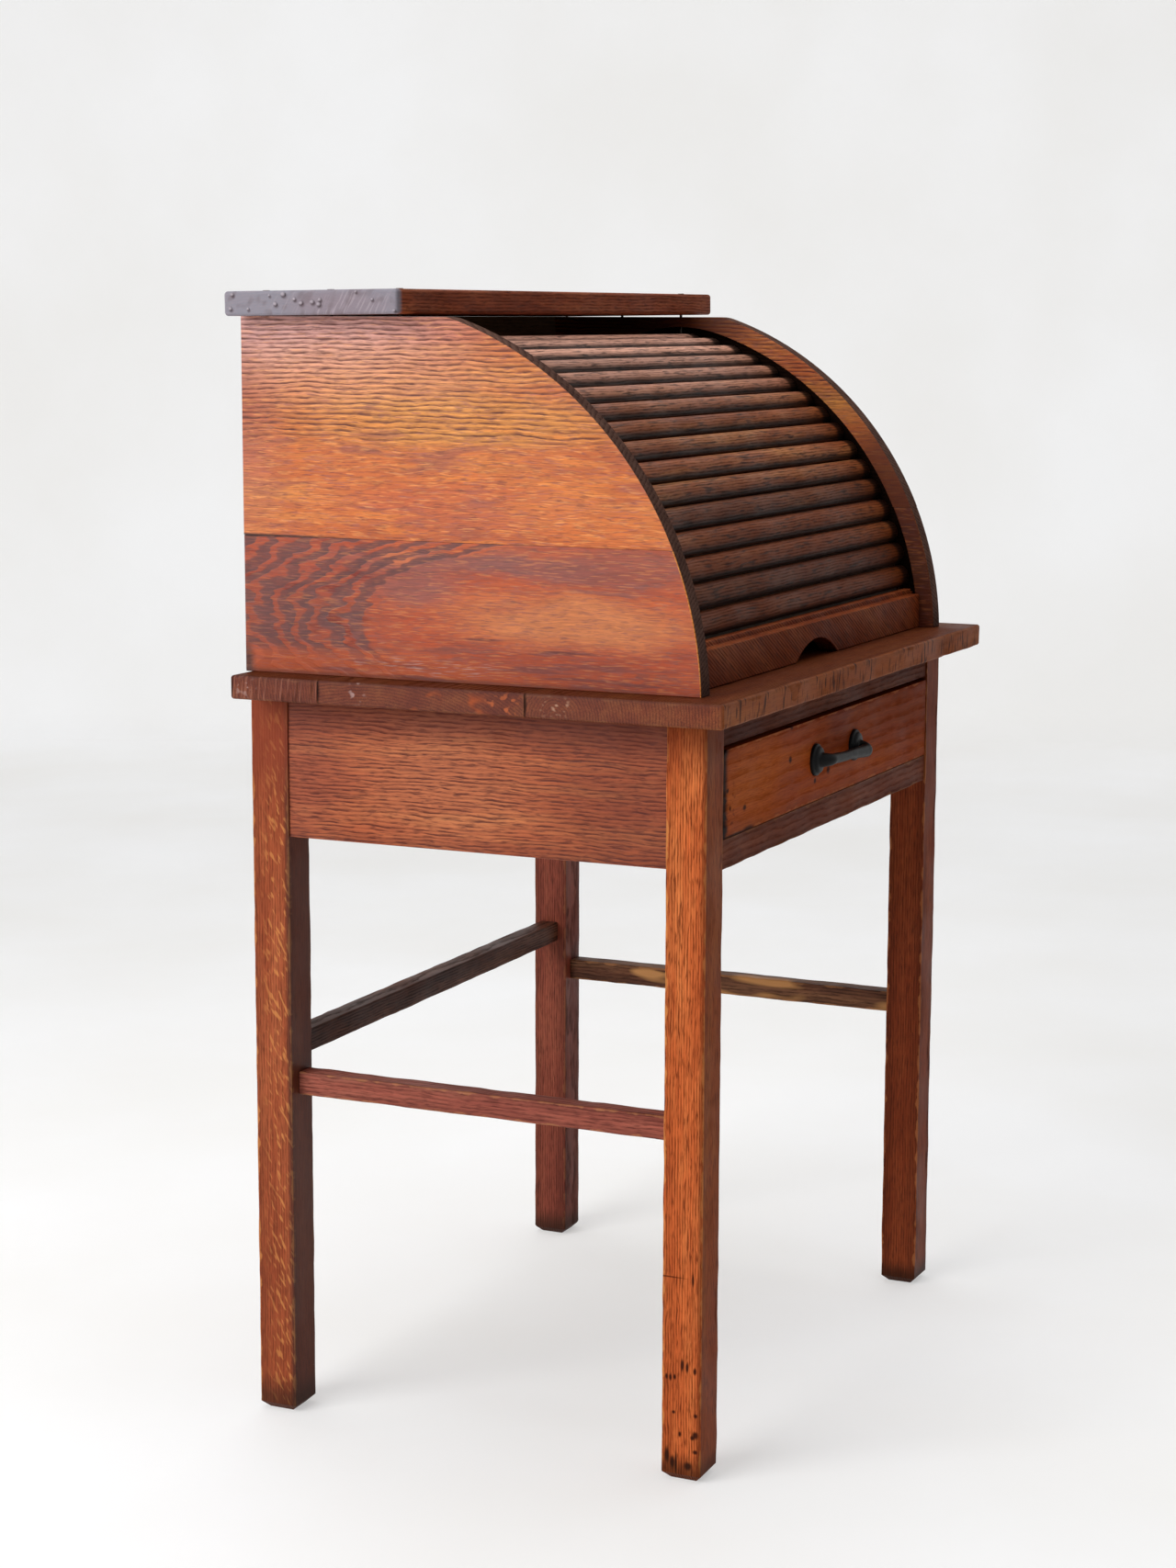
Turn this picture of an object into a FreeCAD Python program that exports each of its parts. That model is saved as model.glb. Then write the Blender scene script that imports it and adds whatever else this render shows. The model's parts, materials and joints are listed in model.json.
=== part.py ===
# Roll top secretary desk in oak: a legged table with one drawer, and on it a case that a
# tambour of half-round slats closes. Millimetres, +Z up, the front of the desk faces -Y.
import os
import re

import FreeCAD
import Part
import Sketcher

doc = FreeCAD.newDocument("roll_top_desk")

# Driving sizes: lengths in millimetres, angles in degrees.
SIZES = {
    # table
    "desk_height": 750.0, "desktop_thick": 23.0, "desktop_round": 3.0,
    "panel_setback": 36.5, "side_overhang": 45.5, "front_overhang": 33.0, "back_setback": 4.0,
    "front_board_wide": 196.0, "back_board_wide": 95.0,
    "leg_size": 40.0, "leg_back": 256.0, "leg_ahead": 2.8, "foot_chamfer": 7.0,
    "apron_thick": 20.0, "apron_inset": 2.0, "apron_high": 139.0,
    "tenon_thick": 10.0, "tenon_long": 20.0, "tenon_shoulder": 8.0,
    "rail_thick": 22.0, "rail_inset": 2.0, "rail_shoulder": 5.0,
    "top_rail_high": 28.0, "drawer_opening": 88.0, "drawer_rail_high": 28.0,
    "stretcher_thick": 22.0, "stretcher_high": 23.0, "stretcher_tenon": 12.0,
    "side_stretcher_inset": 13.0, "back_stretcher_inset": 10.0,
    "left_stretcher_up": 327.0, "right_stretcher_up": 313.0, "back_stretcher_up": 360.0,
    "runner_wide": 34.0, "runner_high": 18.0,
    # case
    "panel_thick": 22.0, "panel_seam_up": 132.0, "panel_round": 40.0,
    "curve_wall": 35.9, "curve_drop": 10.9, "crown_drop": 17.1,
    "back_thick": 13.0, "back_seam_up": 170.0,
    "top_width": 763.0, "top_overhang": 31.5, "top_depth": 185.0, "top_thick": 23.0, "top_inset": 0.4,
    "top_tilt": 0.8, "top_round": 3.5,
    "nail_radius": 1.5, "nail_bite": 26.0, "nail_head": 3.4, "nail_head_high": 1.0, "nail_play": 0.35,
    "nail_front_in": 20.0, "nail_middle_in": 92.0, "nail_back_in": 22.0,
    # tambour: its backs follow a wide bend round the curve's centre, then a tight one behind
    "roll_radius": 331.5, "turn_radius": 140.0, "turn_angle": 72.0, "turn_end": 216.0,
    "least_slats": 17, "slats_from": 54.502, "slats_past_bend": 69.7, "slat_pitch": 25.4,
    "slat_width": 24.2, "slat_thick": 10.0, "slat_edge": 2.5, "slat_reach": 8.5,
    "groove_deep": 10.0, "groove_outside": 17.0, "groove_inside": 0.5, "groove_relief": 8.5,
    "groove_back_wall": 10.977, "groove_start": -4.0, "relief_angle": 60.0,
    "canvas_thick": 0.8, "canvas_off": 0.4, "canvas_from": 37.607, "canvas_margin": 8.0,
    "lift_proud": 19.2, "lift_thick": 19.0, "lift_high": 37.0, "lift_ledge": 10.0, "lift_ledge_high": 42.6,
    "lift_play": 0.6, "lift_side_play": 0.8,
    "tongue_front": 10.0, "tongue_back": 0.3, "tongue_low": 2.0, "tongue_high": 39.0,
    "notch_wide": 120.0, "notch_high": 19.7,
    # drawer
    "drawer_play": 1.0, "drawer_top_gap": 4.0, "drawer_inset": 1.0, "drawer_front_thick": 20.0,
    "drawer_side_thick": 12.0, "drawer_side_high": 78.4, "drawer_side_long": 402.0, "drawer_lift": 0.6,
    "drawer_bottom_thick": 6.0, "drawer_bottom_up": 5.0, "drawer_groove": 6.0,
    "pull_up": 43.0, "pull_half": 57.0, "boss_high": 19.0, "boss_wide": 9.5, "boss_proud": 7.0,
    "bar_proud": 15.0, "bar_half": 62.0, "bar_end": 6.2, "bar_waist": 4.3,
    "post_foot": 6.0, "post_tip": 4.4,
    "screw_radius": 2.0, "screw_head": 4.0, "screw_head_high": 2.0, "screw_bite": 8.0, "screw_play": 0.35,
    # how far a cutting shape runs past what it cuts
    "tool_spare": 5.0,
}

# Places that follow from the driving sizes.
PLACES = {
    "under_top": "desk_height - desktop_thick",
    "curve_radius": "roll_radius + curve_wall",
    "turn_center_y": "leg_back - groove_back_wall - groove_outside - turn_radius",
    "curve_center_y": "turn_center_y + (roll_radius - turn_radius) * cos(turn_angle)",
    "curve_center_z": "desk_height - curve_drop",
    "turn_center_z": "curve_center_z + (roll_radius - turn_radius) * sin(turn_angle)",
    "leg_front": "curve_center_y - curve_radius - leg_ahead",
    "panel_span": "top_width - 2 * top_overhang",
    "desktop_width": "panel_span + 2 * panel_setback",
    "leg_span": "desktop_width - 2 * side_overhang",
    "desktop_front": "leg_front - front_overhang",
    "desktop_back": "leg_back - back_setback",
    "front_seam": "desktop_front + front_board_wide",
    "back_seam": "desktop_back - back_board_wide",
    "front_inner": "leg_front + leg_size",
    "back_inner": "leg_back - leg_size",
    "between_legs": "leg_span - 2 * leg_size",
    "along_legs": "back_inner - front_inner",
    "apron_low": "under_top - apron_high",
    "top_rail_low": "under_top - top_rail_high",
    "drawer_rail_top": "top_rail_low - drawer_opening",
    "panel_seam": "desk_height + panel_seam_up",
    "panel_top": "curve_center_z + curve_radius - crown_drop",
    "back_seam_z": "desk_height + back_seam_up",
    "clear_wide": "panel_span - 2 * panel_thick",
    "junction": "roll_radius * turn_angle * pi / 180",
    "slat_count": "max(least_slats; round((junction + slats_past_bend - slats_from) / slat_pitch))",
    "canvas_start": "canvas_from / roll_radius * 180 / pi",
    "canvas_end": "turn_angle + (slats_from + slat_count * slat_pitch - junction) / turn_radius * 180 / pi",
    "canvas_half": "clear_wide / 2 - canvas_margin",
    "slat_long": "clear_wide + 2 * slat_reach",
    "crown_rise": "slat_thick - slat_edge",
    "crown_radius": "(slat_width ^ 2 / 4 + crown_rise ^ 2) / (2 * crown_rise)",
    "lift_face": "curve_center_y - roll_radius - lift_proud",
    "lift_back": "lift_face + lift_thick",
    "lift_low": "desk_height + lift_play",
    "lift_top": "desk_height + lift_high",
    "lift_ledge_top": "desk_height + lift_ledge_high",
    "tongue_top": "desk_height + tongue_high",
    "notch_radius": "(notch_wide ^ 2 / 4 + notch_high ^ 2) / (2 * notch_high)",
    "top_back": "leg_back - top_inset",
    "nail_x": "(panel_span - panel_thick) / 2",
    "drawer_face": "leg_front + drawer_inset",
    "drawer_front_back": "drawer_face + drawer_front_thick",
    "drawer_half": "between_legs / 2 - drawer_play",
    "drawer_side_half": "drawer_half - drawer_play",
    "drawer_side_low": "drawer_rail_top + drawer_lift",
    "drawer_bottom_low": "drawer_side_low + drawer_bottom_up",
    "pull_height": "drawer_rail_top + pull_up",
    "bar_tip": "bar_half - bar_end",
    "bar_drop": "bar_end - bar_waist",
    "waist_radius": "(bar_tip ^ 2 + bar_drop ^ 2) / (2 * bar_drop)",
}

sheet = doc.addObject("Spreadsheet::Sheet", "Sizes")
cells = [(word, str(value)) for word, value in SIZES.items()]
cells += [(word, "=" + text) for word, text in PLACES.items()]
for row, (word, content) in enumerate(cells, start=1):
    sheet.set("A%d" % row, word)
    sheet.set("B%d" % row, content)
    sheet.setAlias("B%d" % row, word)
doc.recompute()
WORDS = {word for word, content in cells}


def size(word):
    """Present value of a size or place on the sheet."""
    return float(sheet.get(word))


def formula(text):
    """Turn a sum of words into an expression on the sheet's cells."""
    return re.sub(r"[a-z]\w+", lambda found: "Sizes." + found.group() if found.group() in WORDS
                  else found.group(), text)


def bind(piece, **formulas):
    """Bind properties of a piece to formulas; x, y, z and turn stand for its placement."""
    path = {"x": "Placement.Base.x", "y": "Placement.Base.y", "z": "Placement.Base.z",
            "turn": "Placement.Rotation.Angle"}
    for prop, text in formulas.items():
        piece.setExpression(path.get(prop, prop), formula(text))


def block(name, x, y, z, length, depth, height):
    """Square-edged block from its low corner and its sizes along X, Y and Z."""
    piece = doc.addObject("Part::Box", name)
    bind(piece, x=x, y=y, z=z, Length=length, Width=depth, Height=height)
    return piece


def fuse(name, pieces):
    whole = doc.addObject("Part::MultiFuse", name)
    whole.Shapes = pieces
    whole.Refine = True
    return whole


def cut(name, base, tool):
    rest = doc.addObject("Part::Cut", name)
    rest.Base = base
    rest.Tool = tool
    rest.Refine = True
    return rest


def flat_on(owner, role):
    """Empty sketch on one of a body's own origin planes."""
    flat = owner.newObject("Sketcher::SketchObject", owner.Name + "_sketch")
    plane = next(item for item in owner.Origin.OriginFeatures if item.Role == role)
    flat.AttachmentSupport = [(plane, "")]
    flat.MapMode = "FlatFace"
    return flat


def pin(flat, kind, line, end, text, start):
    """Hold one end of a line at a formula's distance from the sketch's origin."""
    number = flat.addConstraint(Sketcher.Constraint(kind, -1, 1, line, end, start))
    flat.setExpression("Constraints[%d]" % number, formula(text))


def size_arc(flat, arc, text, start):
    number = flat.addConstraint(Sketcher.Constraint("Radius", arc, start))
    flat.setExpression("Constraints[%d]" % number, formula(text))


def outline(flat, corners):
    """Close a straight-sided outline through corners, each a pair of formulas."""
    count = len(corners)
    ring = [FreeCAD.Vector(100.0, 0, 0)]
    for step in range(1, count):
        turn = FreeCAD.Rotation(FreeCAD.Vector(0, 0, 1), 360.0 * step / count + 1.0)
        ring.append(turn.multVec(ring[0]))
    for step in range(count):
        flat.addGeometry(Part.LineSegment(ring[step], ring[(step + 1) % count]), False)
    for step in range(count):
        flat.addConstraint(Sketcher.Constraint("Coincident", step, 2, (step + 1) % count, 1))
    for step, (across, up) in enumerate(corners):
        pin(flat, "DistanceX", step, 1, across, ring[step].x)
        pin(flat, "DistanceY", step, 1, up, ring[step].y)


def grow(owner, flat, length, both_ways=False):
    """Pad a sketch, upward from its plane or evenly both ways."""
    pad = owner.newObject("PartDesign::Pad", flat.Name + "_pad")
    pad.Profile = flat
    if both_ways:
        pad.SideType = "Symmetric"
    pad.setExpression("Length", formula(length))
    flat.Visibility = False
    return pad


NEAR = 0.1


def edges_where(shape, test):
    """Names of the edges whose middle point passes a test."""
    names = []
    for number, edge in enumerate(shape.Edges, start=1):
        if test(edge.CenterOfMass):
            names.append("Edge%d" % number)
    return names


def ring_part(name, center_y, center_z, inside, outside, first, last, low_x, high_x):
    """Part of a ring about an axis along X, between two angles counted up from the front."""
    owner = doc.addObject("PartDesign::Body", name)
    flat = flat_on(owner, "XZ_Plane")
    outline(flat, ((low_x, inside), (high_x, inside), (high_x, outside), (low_x, outside)))
    turned = owner.newObject("PartDesign::Revolution", name + "_turned")
    turned.Profile = flat
    turned.ReferenceAxis = (flat, ["H_Axis"])
    turned.setExpression("Angle", formula("%s - %s" % (last, first)))
    owner.Placement = FreeCAD.Placement(FreeCAD.Vector(), FreeCAD.Rotation(FreeCAD.Vector(1, 0, 0), 1.0))
    bind(owner, y=center_y, z=center_z, turn="90 - %s" % last)
    return owner


SIDES = ("left", "right")
nodes = []

# Rails, aprons and stretchers, each a bar with a tenon at both ends.
tenons = {"leg_front_left": [], "leg_front_right": [], "leg_back_left": [], "leg_back_right": []}


def bar_along_y(name, side, x, thick, z, high, tenon_thick, shoulder):
    bar = block(name + "_bar", x, "front_inner", z, thick, "along_legs", high)
    low_x = "%s + (%s - %s) / 2" % (x, thick, tenon_thick)
    low_z = "%s + %s" % (z, shoulder)
    tall = "%s - 2 * (%s)" % (high, shoulder)
    front = block(name + "_tenon_front", low_x, "front_inner - tenon_long", low_z,
                  tenon_thick, "tenon_long", tall)
    back = block(name + "_tenon_back", low_x, "back_inner", low_z, tenon_thick, "tenon_long", tall)
    tenons["leg_front_" + side].append(front)
    tenons["leg_back_" + side].append(back)
    nodes.append(fuse(name, [bar, front, back]))


def bar_along_x(name, row, y, thick, z, high, tenon_thick, shoulder):
    bar = block(name + "_bar", "-between_legs / 2", y, z, "between_legs", thick, high)
    low_y = "%s + (%s - %s) / 2" % (y, thick, tenon_thick)
    low_z = "%s + %s" % (z, shoulder)
    tall = "%s - 2 * (%s)" % (high, shoulder)
    left = block(name + "_tenon_left", "-between_legs / 2 - tenon_long", low_y, low_z,
                 "tenon_long", tenon_thick, tall)
    right = block(name + "_tenon_right", "between_legs / 2", low_y, low_z, "tenon_long", tenon_thick, tall)
    tenons["leg_%s_left" % row].append(left)
    tenons["leg_%s_right" % row].append(right)
    nodes.append(fuse(name, [bar, left, right]))


bar_along_y("side_apron_left", "left", "-leg_span / 2 + apron_inset", "apron_thick",
            "apron_low", "apron_high", "tenon_thick", "tenon_shoulder")
bar_along_y("side_apron_right", "right", "leg_span / 2 - apron_inset - apron_thick", "apron_thick",
            "apron_low", "apron_high", "tenon_thick", "tenon_shoulder")
bar_along_x("back_apron", "back", "leg_back - apron_inset - apron_thick", "apron_thick",
            "apron_low", "apron_high", "tenon_thick", "tenon_shoulder")
bar_along_x("front_top_rail", "front", "leg_front + rail_inset", "rail_thick",
            "top_rail_low", "top_rail_high", "tenon_thick", "rail_shoulder")
bar_along_x("drawer_rail", "front", "leg_front + rail_inset", "rail_thick",
            "drawer_rail_top - drawer_rail_high", "drawer_rail_high", "tenon_thick", "rail_shoulder")
STRETCHER_SHOULDER = "(stretcher_high - stretcher_tenon) / 2"
bar_along_y("side_stretcher_left", "left", "-leg_span / 2 + side_stretcher_inset", "stretcher_thick",
            "left_stretcher_up", "stretcher_high", "stretcher_tenon", STRETCHER_SHOULDER)
bar_along_y("side_stretcher_right", "right", "between_legs / 2 + side_stretcher_inset", "stretcher_thick",
            "right_stretcher_up", "stretcher_high", "stretcher_tenon", STRETCHER_SHOULDER)
bar_along_x("back_stretcher", "back", "back_inner + back_stretcher_inset", "stretcher_thick",
            "back_stretcher_up", "stretcher_high", "stretcher_tenon", STRETCHER_SHOULDER)

# Legs: square posts, chamfered round the foot, mortised for every tenon that enters them.
for leg, cuts in tenons.items():
    low_x = "-leg_span / 2" if leg.endswith("left") else "between_legs / 2"
    low_y = "leg_front" if "front" in leg else "back_inner"
    post = doc.addObject("PartDesign::Body", leg + "_post")
    plan = flat_on(post, "XY_Plane")
    outline(plan, ((low_x, low_y), (low_x + " + leg_size", low_y),
                   (low_x + " + leg_size", low_y + " + leg_size"), (low_x, low_y + " + leg_size")))
    shaft = grow(post, plan, "under_top")
    doc.recompute()
    foot = post.newObject("PartDesign::Chamfer", leg + "_foot")
    foot.Base = (shaft, edges_where(shaft.Shape, lambda middle: middle.z < NEAR))
    foot.setExpression("Size", formula("foot_chamfer"))
    nodes.append(cut(leg, post, fuse(leg + "_mortises", cuts)))

# Runners that carry the drawer, on the inside of the side aprons.
for side in SIDES:
    inner = "leg_span / 2 - apron_inset - apron_thick"
    low_x = "-(%s)" % inner if side == "left" else inner + " - runner_wide"
    nodes.append(block("drawer_runner_" + side, low_x, "front_inner", "drawer_rail_top - runner_high",
                       "runner_wide", "along_legs", "runner_high"))


def rounded_board(name, low_x, low_y, high_x, high_y, thick, radius, test):
    """Flat board whose chosen edges are rounded over."""
    owner = doc.addObject("PartDesign::Body", name)
    plan = flat_on(owner, "XY_Plane")
    outline(plan, ((low_x, low_y), (high_x, low_y), (high_x, high_y), (low_x, high_y)))
    pad = grow(owner, plan, thick)
    doc.recompute()
    rounded = owner.newObject("PartDesign::Fillet", name + "_rounded")
    rounded.Base = (pad, edges_where(pad.Shape, test))
    rounded.setExpression("Radius", formula(radius))
    return owner


# Desktop: three boards edge to edge, rounded only on the outside.
def outside_edge(middle):
    """True on the desktop's rim, and false along a seam between two boards."""
    on_end = abs(middle.x) > size("desktop_width") / 2 - NEAR
    on_front = middle.y < size("desktop_front") + NEAR
    on_back = middle.y > size("desktop_back") - NEAR
    on_seam = min(abs(middle.y - size("front_seam")), abs(middle.y - size("back_seam"))) < NEAR
    return (on_end or on_front or on_back) and not on_seam


for name, low_y, high_y in (("desktop_front_board", "desktop_front", "front_seam"),
                            ("desktop_middle_board", "front_seam", "back_seam"),
                            ("desktop_back_board", "back_seam", "desktop_back")):
    board = rounded_board(name, "-desktop_width / 2", low_y, "desktop_width / 2", high_y,
                          "desktop_thick", "desktop_round", outside_edge)
    bind(board, z="under_top")
    nodes.append(board)


def side_board(name, low_x, low_z, high_z):
    """One board of a case side: curved front edge, straight back."""
    owner = doc.addObject("PartDesign::Body", name)
    flat = flat_on(owner, "YZ_Plane")
    center = FreeCAD.Vector(size("curve_center_y"), size("curve_center_z"), 0)
    radius = size("curve_radius")
    back = size("leg_back")
    spots = []
    for word in (high_z, low_z):
        rise = size(word) - center.y
        spots.append(FreeCAD.Vector(center.x - (radius ** 2 - rise ** 2) ** 0.5, size(word), 0))
    middle = (spots[0] + spots[1]) / 2 - center
    middle = center + middle * (radius / middle.Length)
    flat.addGeometry(Part.Arc(spots[0], middle, spots[1]), False)
    low_back = FreeCAD.Vector(back, spots[1].y, 0)
    high_back = FreeCAD.Vector(back, spots[0].y, 0)
    flat.addGeometry(Part.LineSegment(spots[1], low_back), False)
    flat.addGeometry(Part.LineSegment(low_back, high_back), False)
    flat.addGeometry(Part.LineSegment(high_back, spots[0]), False)
    for line in range(4):
        flat.addConstraint(Sketcher.Constraint("Coincident", line, 2, (line + 1) % 4, 1))
    flat.addConstraint(Sketcher.Constraint("Horizontal", 1))
    flat.addConstraint(Sketcher.Constraint("Vertical", 2))
    flat.addConstraint(Sketcher.Constraint("Horizontal", 3))
    pin(flat, "DistanceX", 2, 1, "leg_back", back)
    pin(flat, "DistanceY", 1, 1, low_z, spots[1].y)
    pin(flat, "DistanceY", 3, 1, high_z, spots[0].y)
    pin(flat, "DistanceX", 0, 3, "curve_center_y", center.x)
    pin(flat, "DistanceY", 0, 3, "curve_center_z", center.y)
    size_arc(flat, 0, "curve_radius", radius)
    pad = grow(owner, flat, "panel_thick")
    bind(owner, x=low_x)
    return owner, pad


def nail_piece(name, radius, x, from_back, low, high):
    """Upright rod square to the tilted top board, between two heights above its underside."""
    rod = doc.addObject("Part::Cylinder", name)
    rod.Placement = FreeCAD.Placement(FreeCAD.Vector(), FreeCAD.Rotation(FreeCAD.Vector(1, 0, 0), -1.0))
    bind(rod, Radius=radius, Height="%s - (%s)" % (high, low), x=x, turn="-top_tilt",
         y="top_back - (%s) * cos(top_tilt) + (%s) * sin(top_tilt)" % (from_back, low),
         z="panel_top + (%s) * sin(top_tilt) + (%s) * cos(top_tilt)" % (from_back, low))
    return rod


# Top nails stand in holes with a little play; the board has lifted on them at the front.
nails = []
holes = {"left": [], "right": []}
for side in SIDES:
    x = "-nail_x" if side == "left" else "nail_x"
    for number, spot in enumerate(("top_depth - nail_front_in", "nail_middle_in", "nail_back_in")):
        name = "nail_%s_%d" % (side, number)
        shank = nail_piece(name + "_shank", "nail_radius", x, spot, "-nail_bite", "top_thick")
        head = nail_piece(name + "_head", "nail_head", x, spot, "top_thick", "top_thick + nail_head_high")
        nails.append(fuse(name, [shank, head]))
        holes[side].append(nail_piece(name + "_hole", "nail_radius + nail_play", x, spot,
                                      "-nail_bite - nail_play", "top_thick + tool_spare"))

# Case sides: two boards each, with the slats' groove cut into the inner face.
for side in SIDES:
    outer = "-panel_span / 2" if side == "left" else "panel_span / 2 - panel_thick"
    if side == "left":
        low_x, high_x = outer + " + panel_thick - groove_deep", outer + " + panel_thick + tool_spare"
    else:
        low_x, high_x = outer + " - tool_spare", outer + " + groove_deep"
    wide_bend = ring_part("groove_%s_wide" % side, "curve_center_y", "curve_center_z",
                          "roll_radius - groove_inside", "roll_radius + groove_outside",
                          "groove_start", "relief_angle", low_x, high_x)
    relief = ring_part("groove_%s_relief" % side, "curve_center_y", "curve_center_z",
                       "roll_radius - groove_relief", "roll_radius + groove_outside",
                       "relief_angle", "turn_angle", low_x, high_x)
    tight_bend = ring_part("groove_%s_tight" % side, "turn_center_y", "turn_center_z",
                           "turn_radius - groove_relief", "turn_radius + groove_outside",
                           "turn_angle", "turn_end", low_x, high_x)
    groove = fuse("groove_" + side, [wide_bend, relief, tight_bend])
    lower, lower_pad = side_board(side + "_lower_outline", outer, "desk_height", "panel_seam")
    upper, upper_pad = side_board(side + "_upper_outline", outer, "panel_seam", "panel_top")
    doc.recompute()
    top_corner = edges_where(upper_pad.Shape, lambda middle: middle.z > size("panel_top") - NEAR
                             and middle.y < size("curve_center_y")
                             and abs(middle.x - size("panel_thick") / 2) < NEAR)
    eased = upper.newObject("PartDesign::Fillet", side + "_upper_eased")
    eased.Base = (upper_pad, top_corner)
    eased.setExpression("Radius", formula("panel_round"))
    nodes.append(cut(side + "_side_lower_board", lower, groove))
    nodes.append(cut(side + "_side_upper_board", upper, fuse(side + "_upper_cuts", [groove] + holes[side])))

# Case back: two boards between the sides.
for name, low_z, high_z in (("case_back_lower_board", "desk_height", "back_seam_z"),
                            ("case_back_upper_board", "back_seam_z", "panel_top")):
    nodes.append(block(name, "-clear_wide / 2", "leg_back - back_thick", low_z,
                       "clear_wide", "back_thick", "%s - %s" % (high_z, low_z)))

# Top board, resting on its back edge and tilted up a little at the front.
blank = rounded_board("top_board_blank", "-top_width / 2", "-top_depth", "top_width / 2", "0",
                      "top_thick", "top_round", lambda middle: True)
blank.Placement = FreeCAD.Placement(FreeCAD.Vector(), FreeCAD.Rotation(FreeCAD.Vector(1, 0, 0), -1.0))
bind(blank, y="top_back", z="panel_top", turn="-top_tilt")
nodes.append(cut("top_board", blank, fuse("top_board_holes", holes["left"] + holes["right"])))
top_nails = doc.addObject("Part::Compound", "top_nails")
top_nails.Links = nails
nodes.append(top_nails)

# Slats: flat back, half-round front, spaced along the two bends.
for number in range(1, round(size("slat_count")) + 1):
    owner = doc.addObject("PartDesign::Body", "slat_%02d" % number)
    flat = flat_on(owner, "YZ_Plane")
    half = size("slat_width") / 2
    edge = size("slat_edge")
    corners = [FreeCAD.Vector(-half, edge, 0), FreeCAD.Vector(-half, 0, 0),
               FreeCAD.Vector(half, 0, 0), FreeCAD.Vector(half, edge, 0)]
    for step in range(3):
        flat.addGeometry(Part.LineSegment(corners[step], corners[step + 1]), False)
    flat.addGeometry(Part.Arc(corners[3], FreeCAD.Vector(0, size("slat_thick"), 0), corners[0]), False)
    for line in range(4):
        flat.addConstraint(Sketcher.Constraint("Coincident", line, 2, (line + 1) % 4, 1))
    flat.addConstraint(Sketcher.Constraint("Vertical", 0))
    flat.addConstraint(Sketcher.Constraint("Symmetric", 1, 1, 1, 2, -1, 1))
    flat.addConstraint(Sketcher.Constraint("Vertical", 2))
    flat.addConstraint(Sketcher.Constraint("PointOnObject", 1, 1, -1))
    flat.addConstraint(Sketcher.Constraint("PointOnObject", 3, 3, -2))
    pin(flat, "DistanceX", 1, 2, "slat_width / 2", half)
    pin(flat, "DistanceY", 2, 2, "slat_edge", edge)
    size_arc(flat, 3, "crown_radius", size("crown_radius"))
    grow(owner, flat, "slat_long", both_ways=True)
    owner.Placement = FreeCAD.Placement(FreeCAD.Vector(), FreeCAD.Rotation(FreeCAD.Vector(1, 0, 0), 1.0))
    along = "slats_from + slat_pitch * %.1f" % (number - 0.5)
    if size("slats_from") + size("slat_pitch") * (number - 0.5) < size("junction"):
        angle = "(%s) / roll_radius * 180 / pi" % along
        center_y, center_z, radius = "curve_center_y", "curve_center_z", "roll_radius"
    else:
        angle = "turn_angle + (%s - junction) / turn_radius * 180 / pi" % along
        center_y, center_z, radius = "turn_center_y", "turn_center_z", "turn_radius"
    bind(owner, y="%s - %s * cos(%s)" % (center_y, radius, angle),
         z="%s + %s * sin(%s)" % (center_z, radius, angle), turn="90 - (%s)" % angle)
    nodes.append(owner)

# Canvas glued behind the slats and the lift rail, drawn as it lies with the tambour shut.
CANVAS_EDGES = ("-canvas_half", "canvas_half")
canvas_wide_bend = ring_part("canvas_wide_bend", "curve_center_y", "curve_center_z",
                             "roll_radius - canvas_off - canvas_thick", "roll_radius - canvas_off",
                             "canvas_start", "turn_angle", *CANVAS_EDGES)
canvas_tight_bend = ring_part("canvas_tight_bend", "turn_center_y", "turn_center_z",
                              "turn_radius - canvas_off - canvas_thick", "turn_radius - canvas_off",
                              "turn_angle", "canvas_end", *CANVAS_EDGES)
nodes.append(fuse("tambour_canvas", [canvas_wide_bend, canvas_tight_bend]))

# Lift rail: flat face, set-back ledge on top, tongues in the grooves, finger notch below.
rail = doc.addObject("PartDesign::Body", "lift_rail_wood")
section = flat_on(rail, "YZ_Plane")
outline(section, (("lift_face", "lift_low"), ("lift_back", "lift_low"), ("lift_back", "lift_ledge_top"),
                  ("lift_face + lift_ledge", "lift_ledge_top"), ("lift_face + lift_ledge", "lift_top"),
                  ("lift_face", "lift_top")))
grow(rail, section, "clear_wide - 2 * lift_side_play", both_ways=True)
doc.recompute()
tongue = flat_on(rail, "YZ_Plane")
outline(tongue, (("lift_face + tongue_front", "lift_low + tongue_low"),
                 ("lift_back - tongue_back", "lift_low + tongue_low"),
                 ("lift_back - tongue_back", "tongue_top"),
                 ("lift_face + tongue_front", "tongue_top")))
grow(rail, tongue, "slat_long", both_ways=True)
notch = doc.addObject("Part::Cylinder", "finger_notch")
notch.Placement = FreeCAD.Placement(FreeCAD.Vector(), FreeCAD.Rotation(FreeCAD.Vector(1, 0, 0), 90))
bind(notch, Radius="notch_radius", Height="lift_thick + 2 * tool_spare", y="lift_back + tool_spare",
     z="desk_height + notch_high - notch_radius")
nodes.append(cut("lift_rail", rail, notch))

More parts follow.
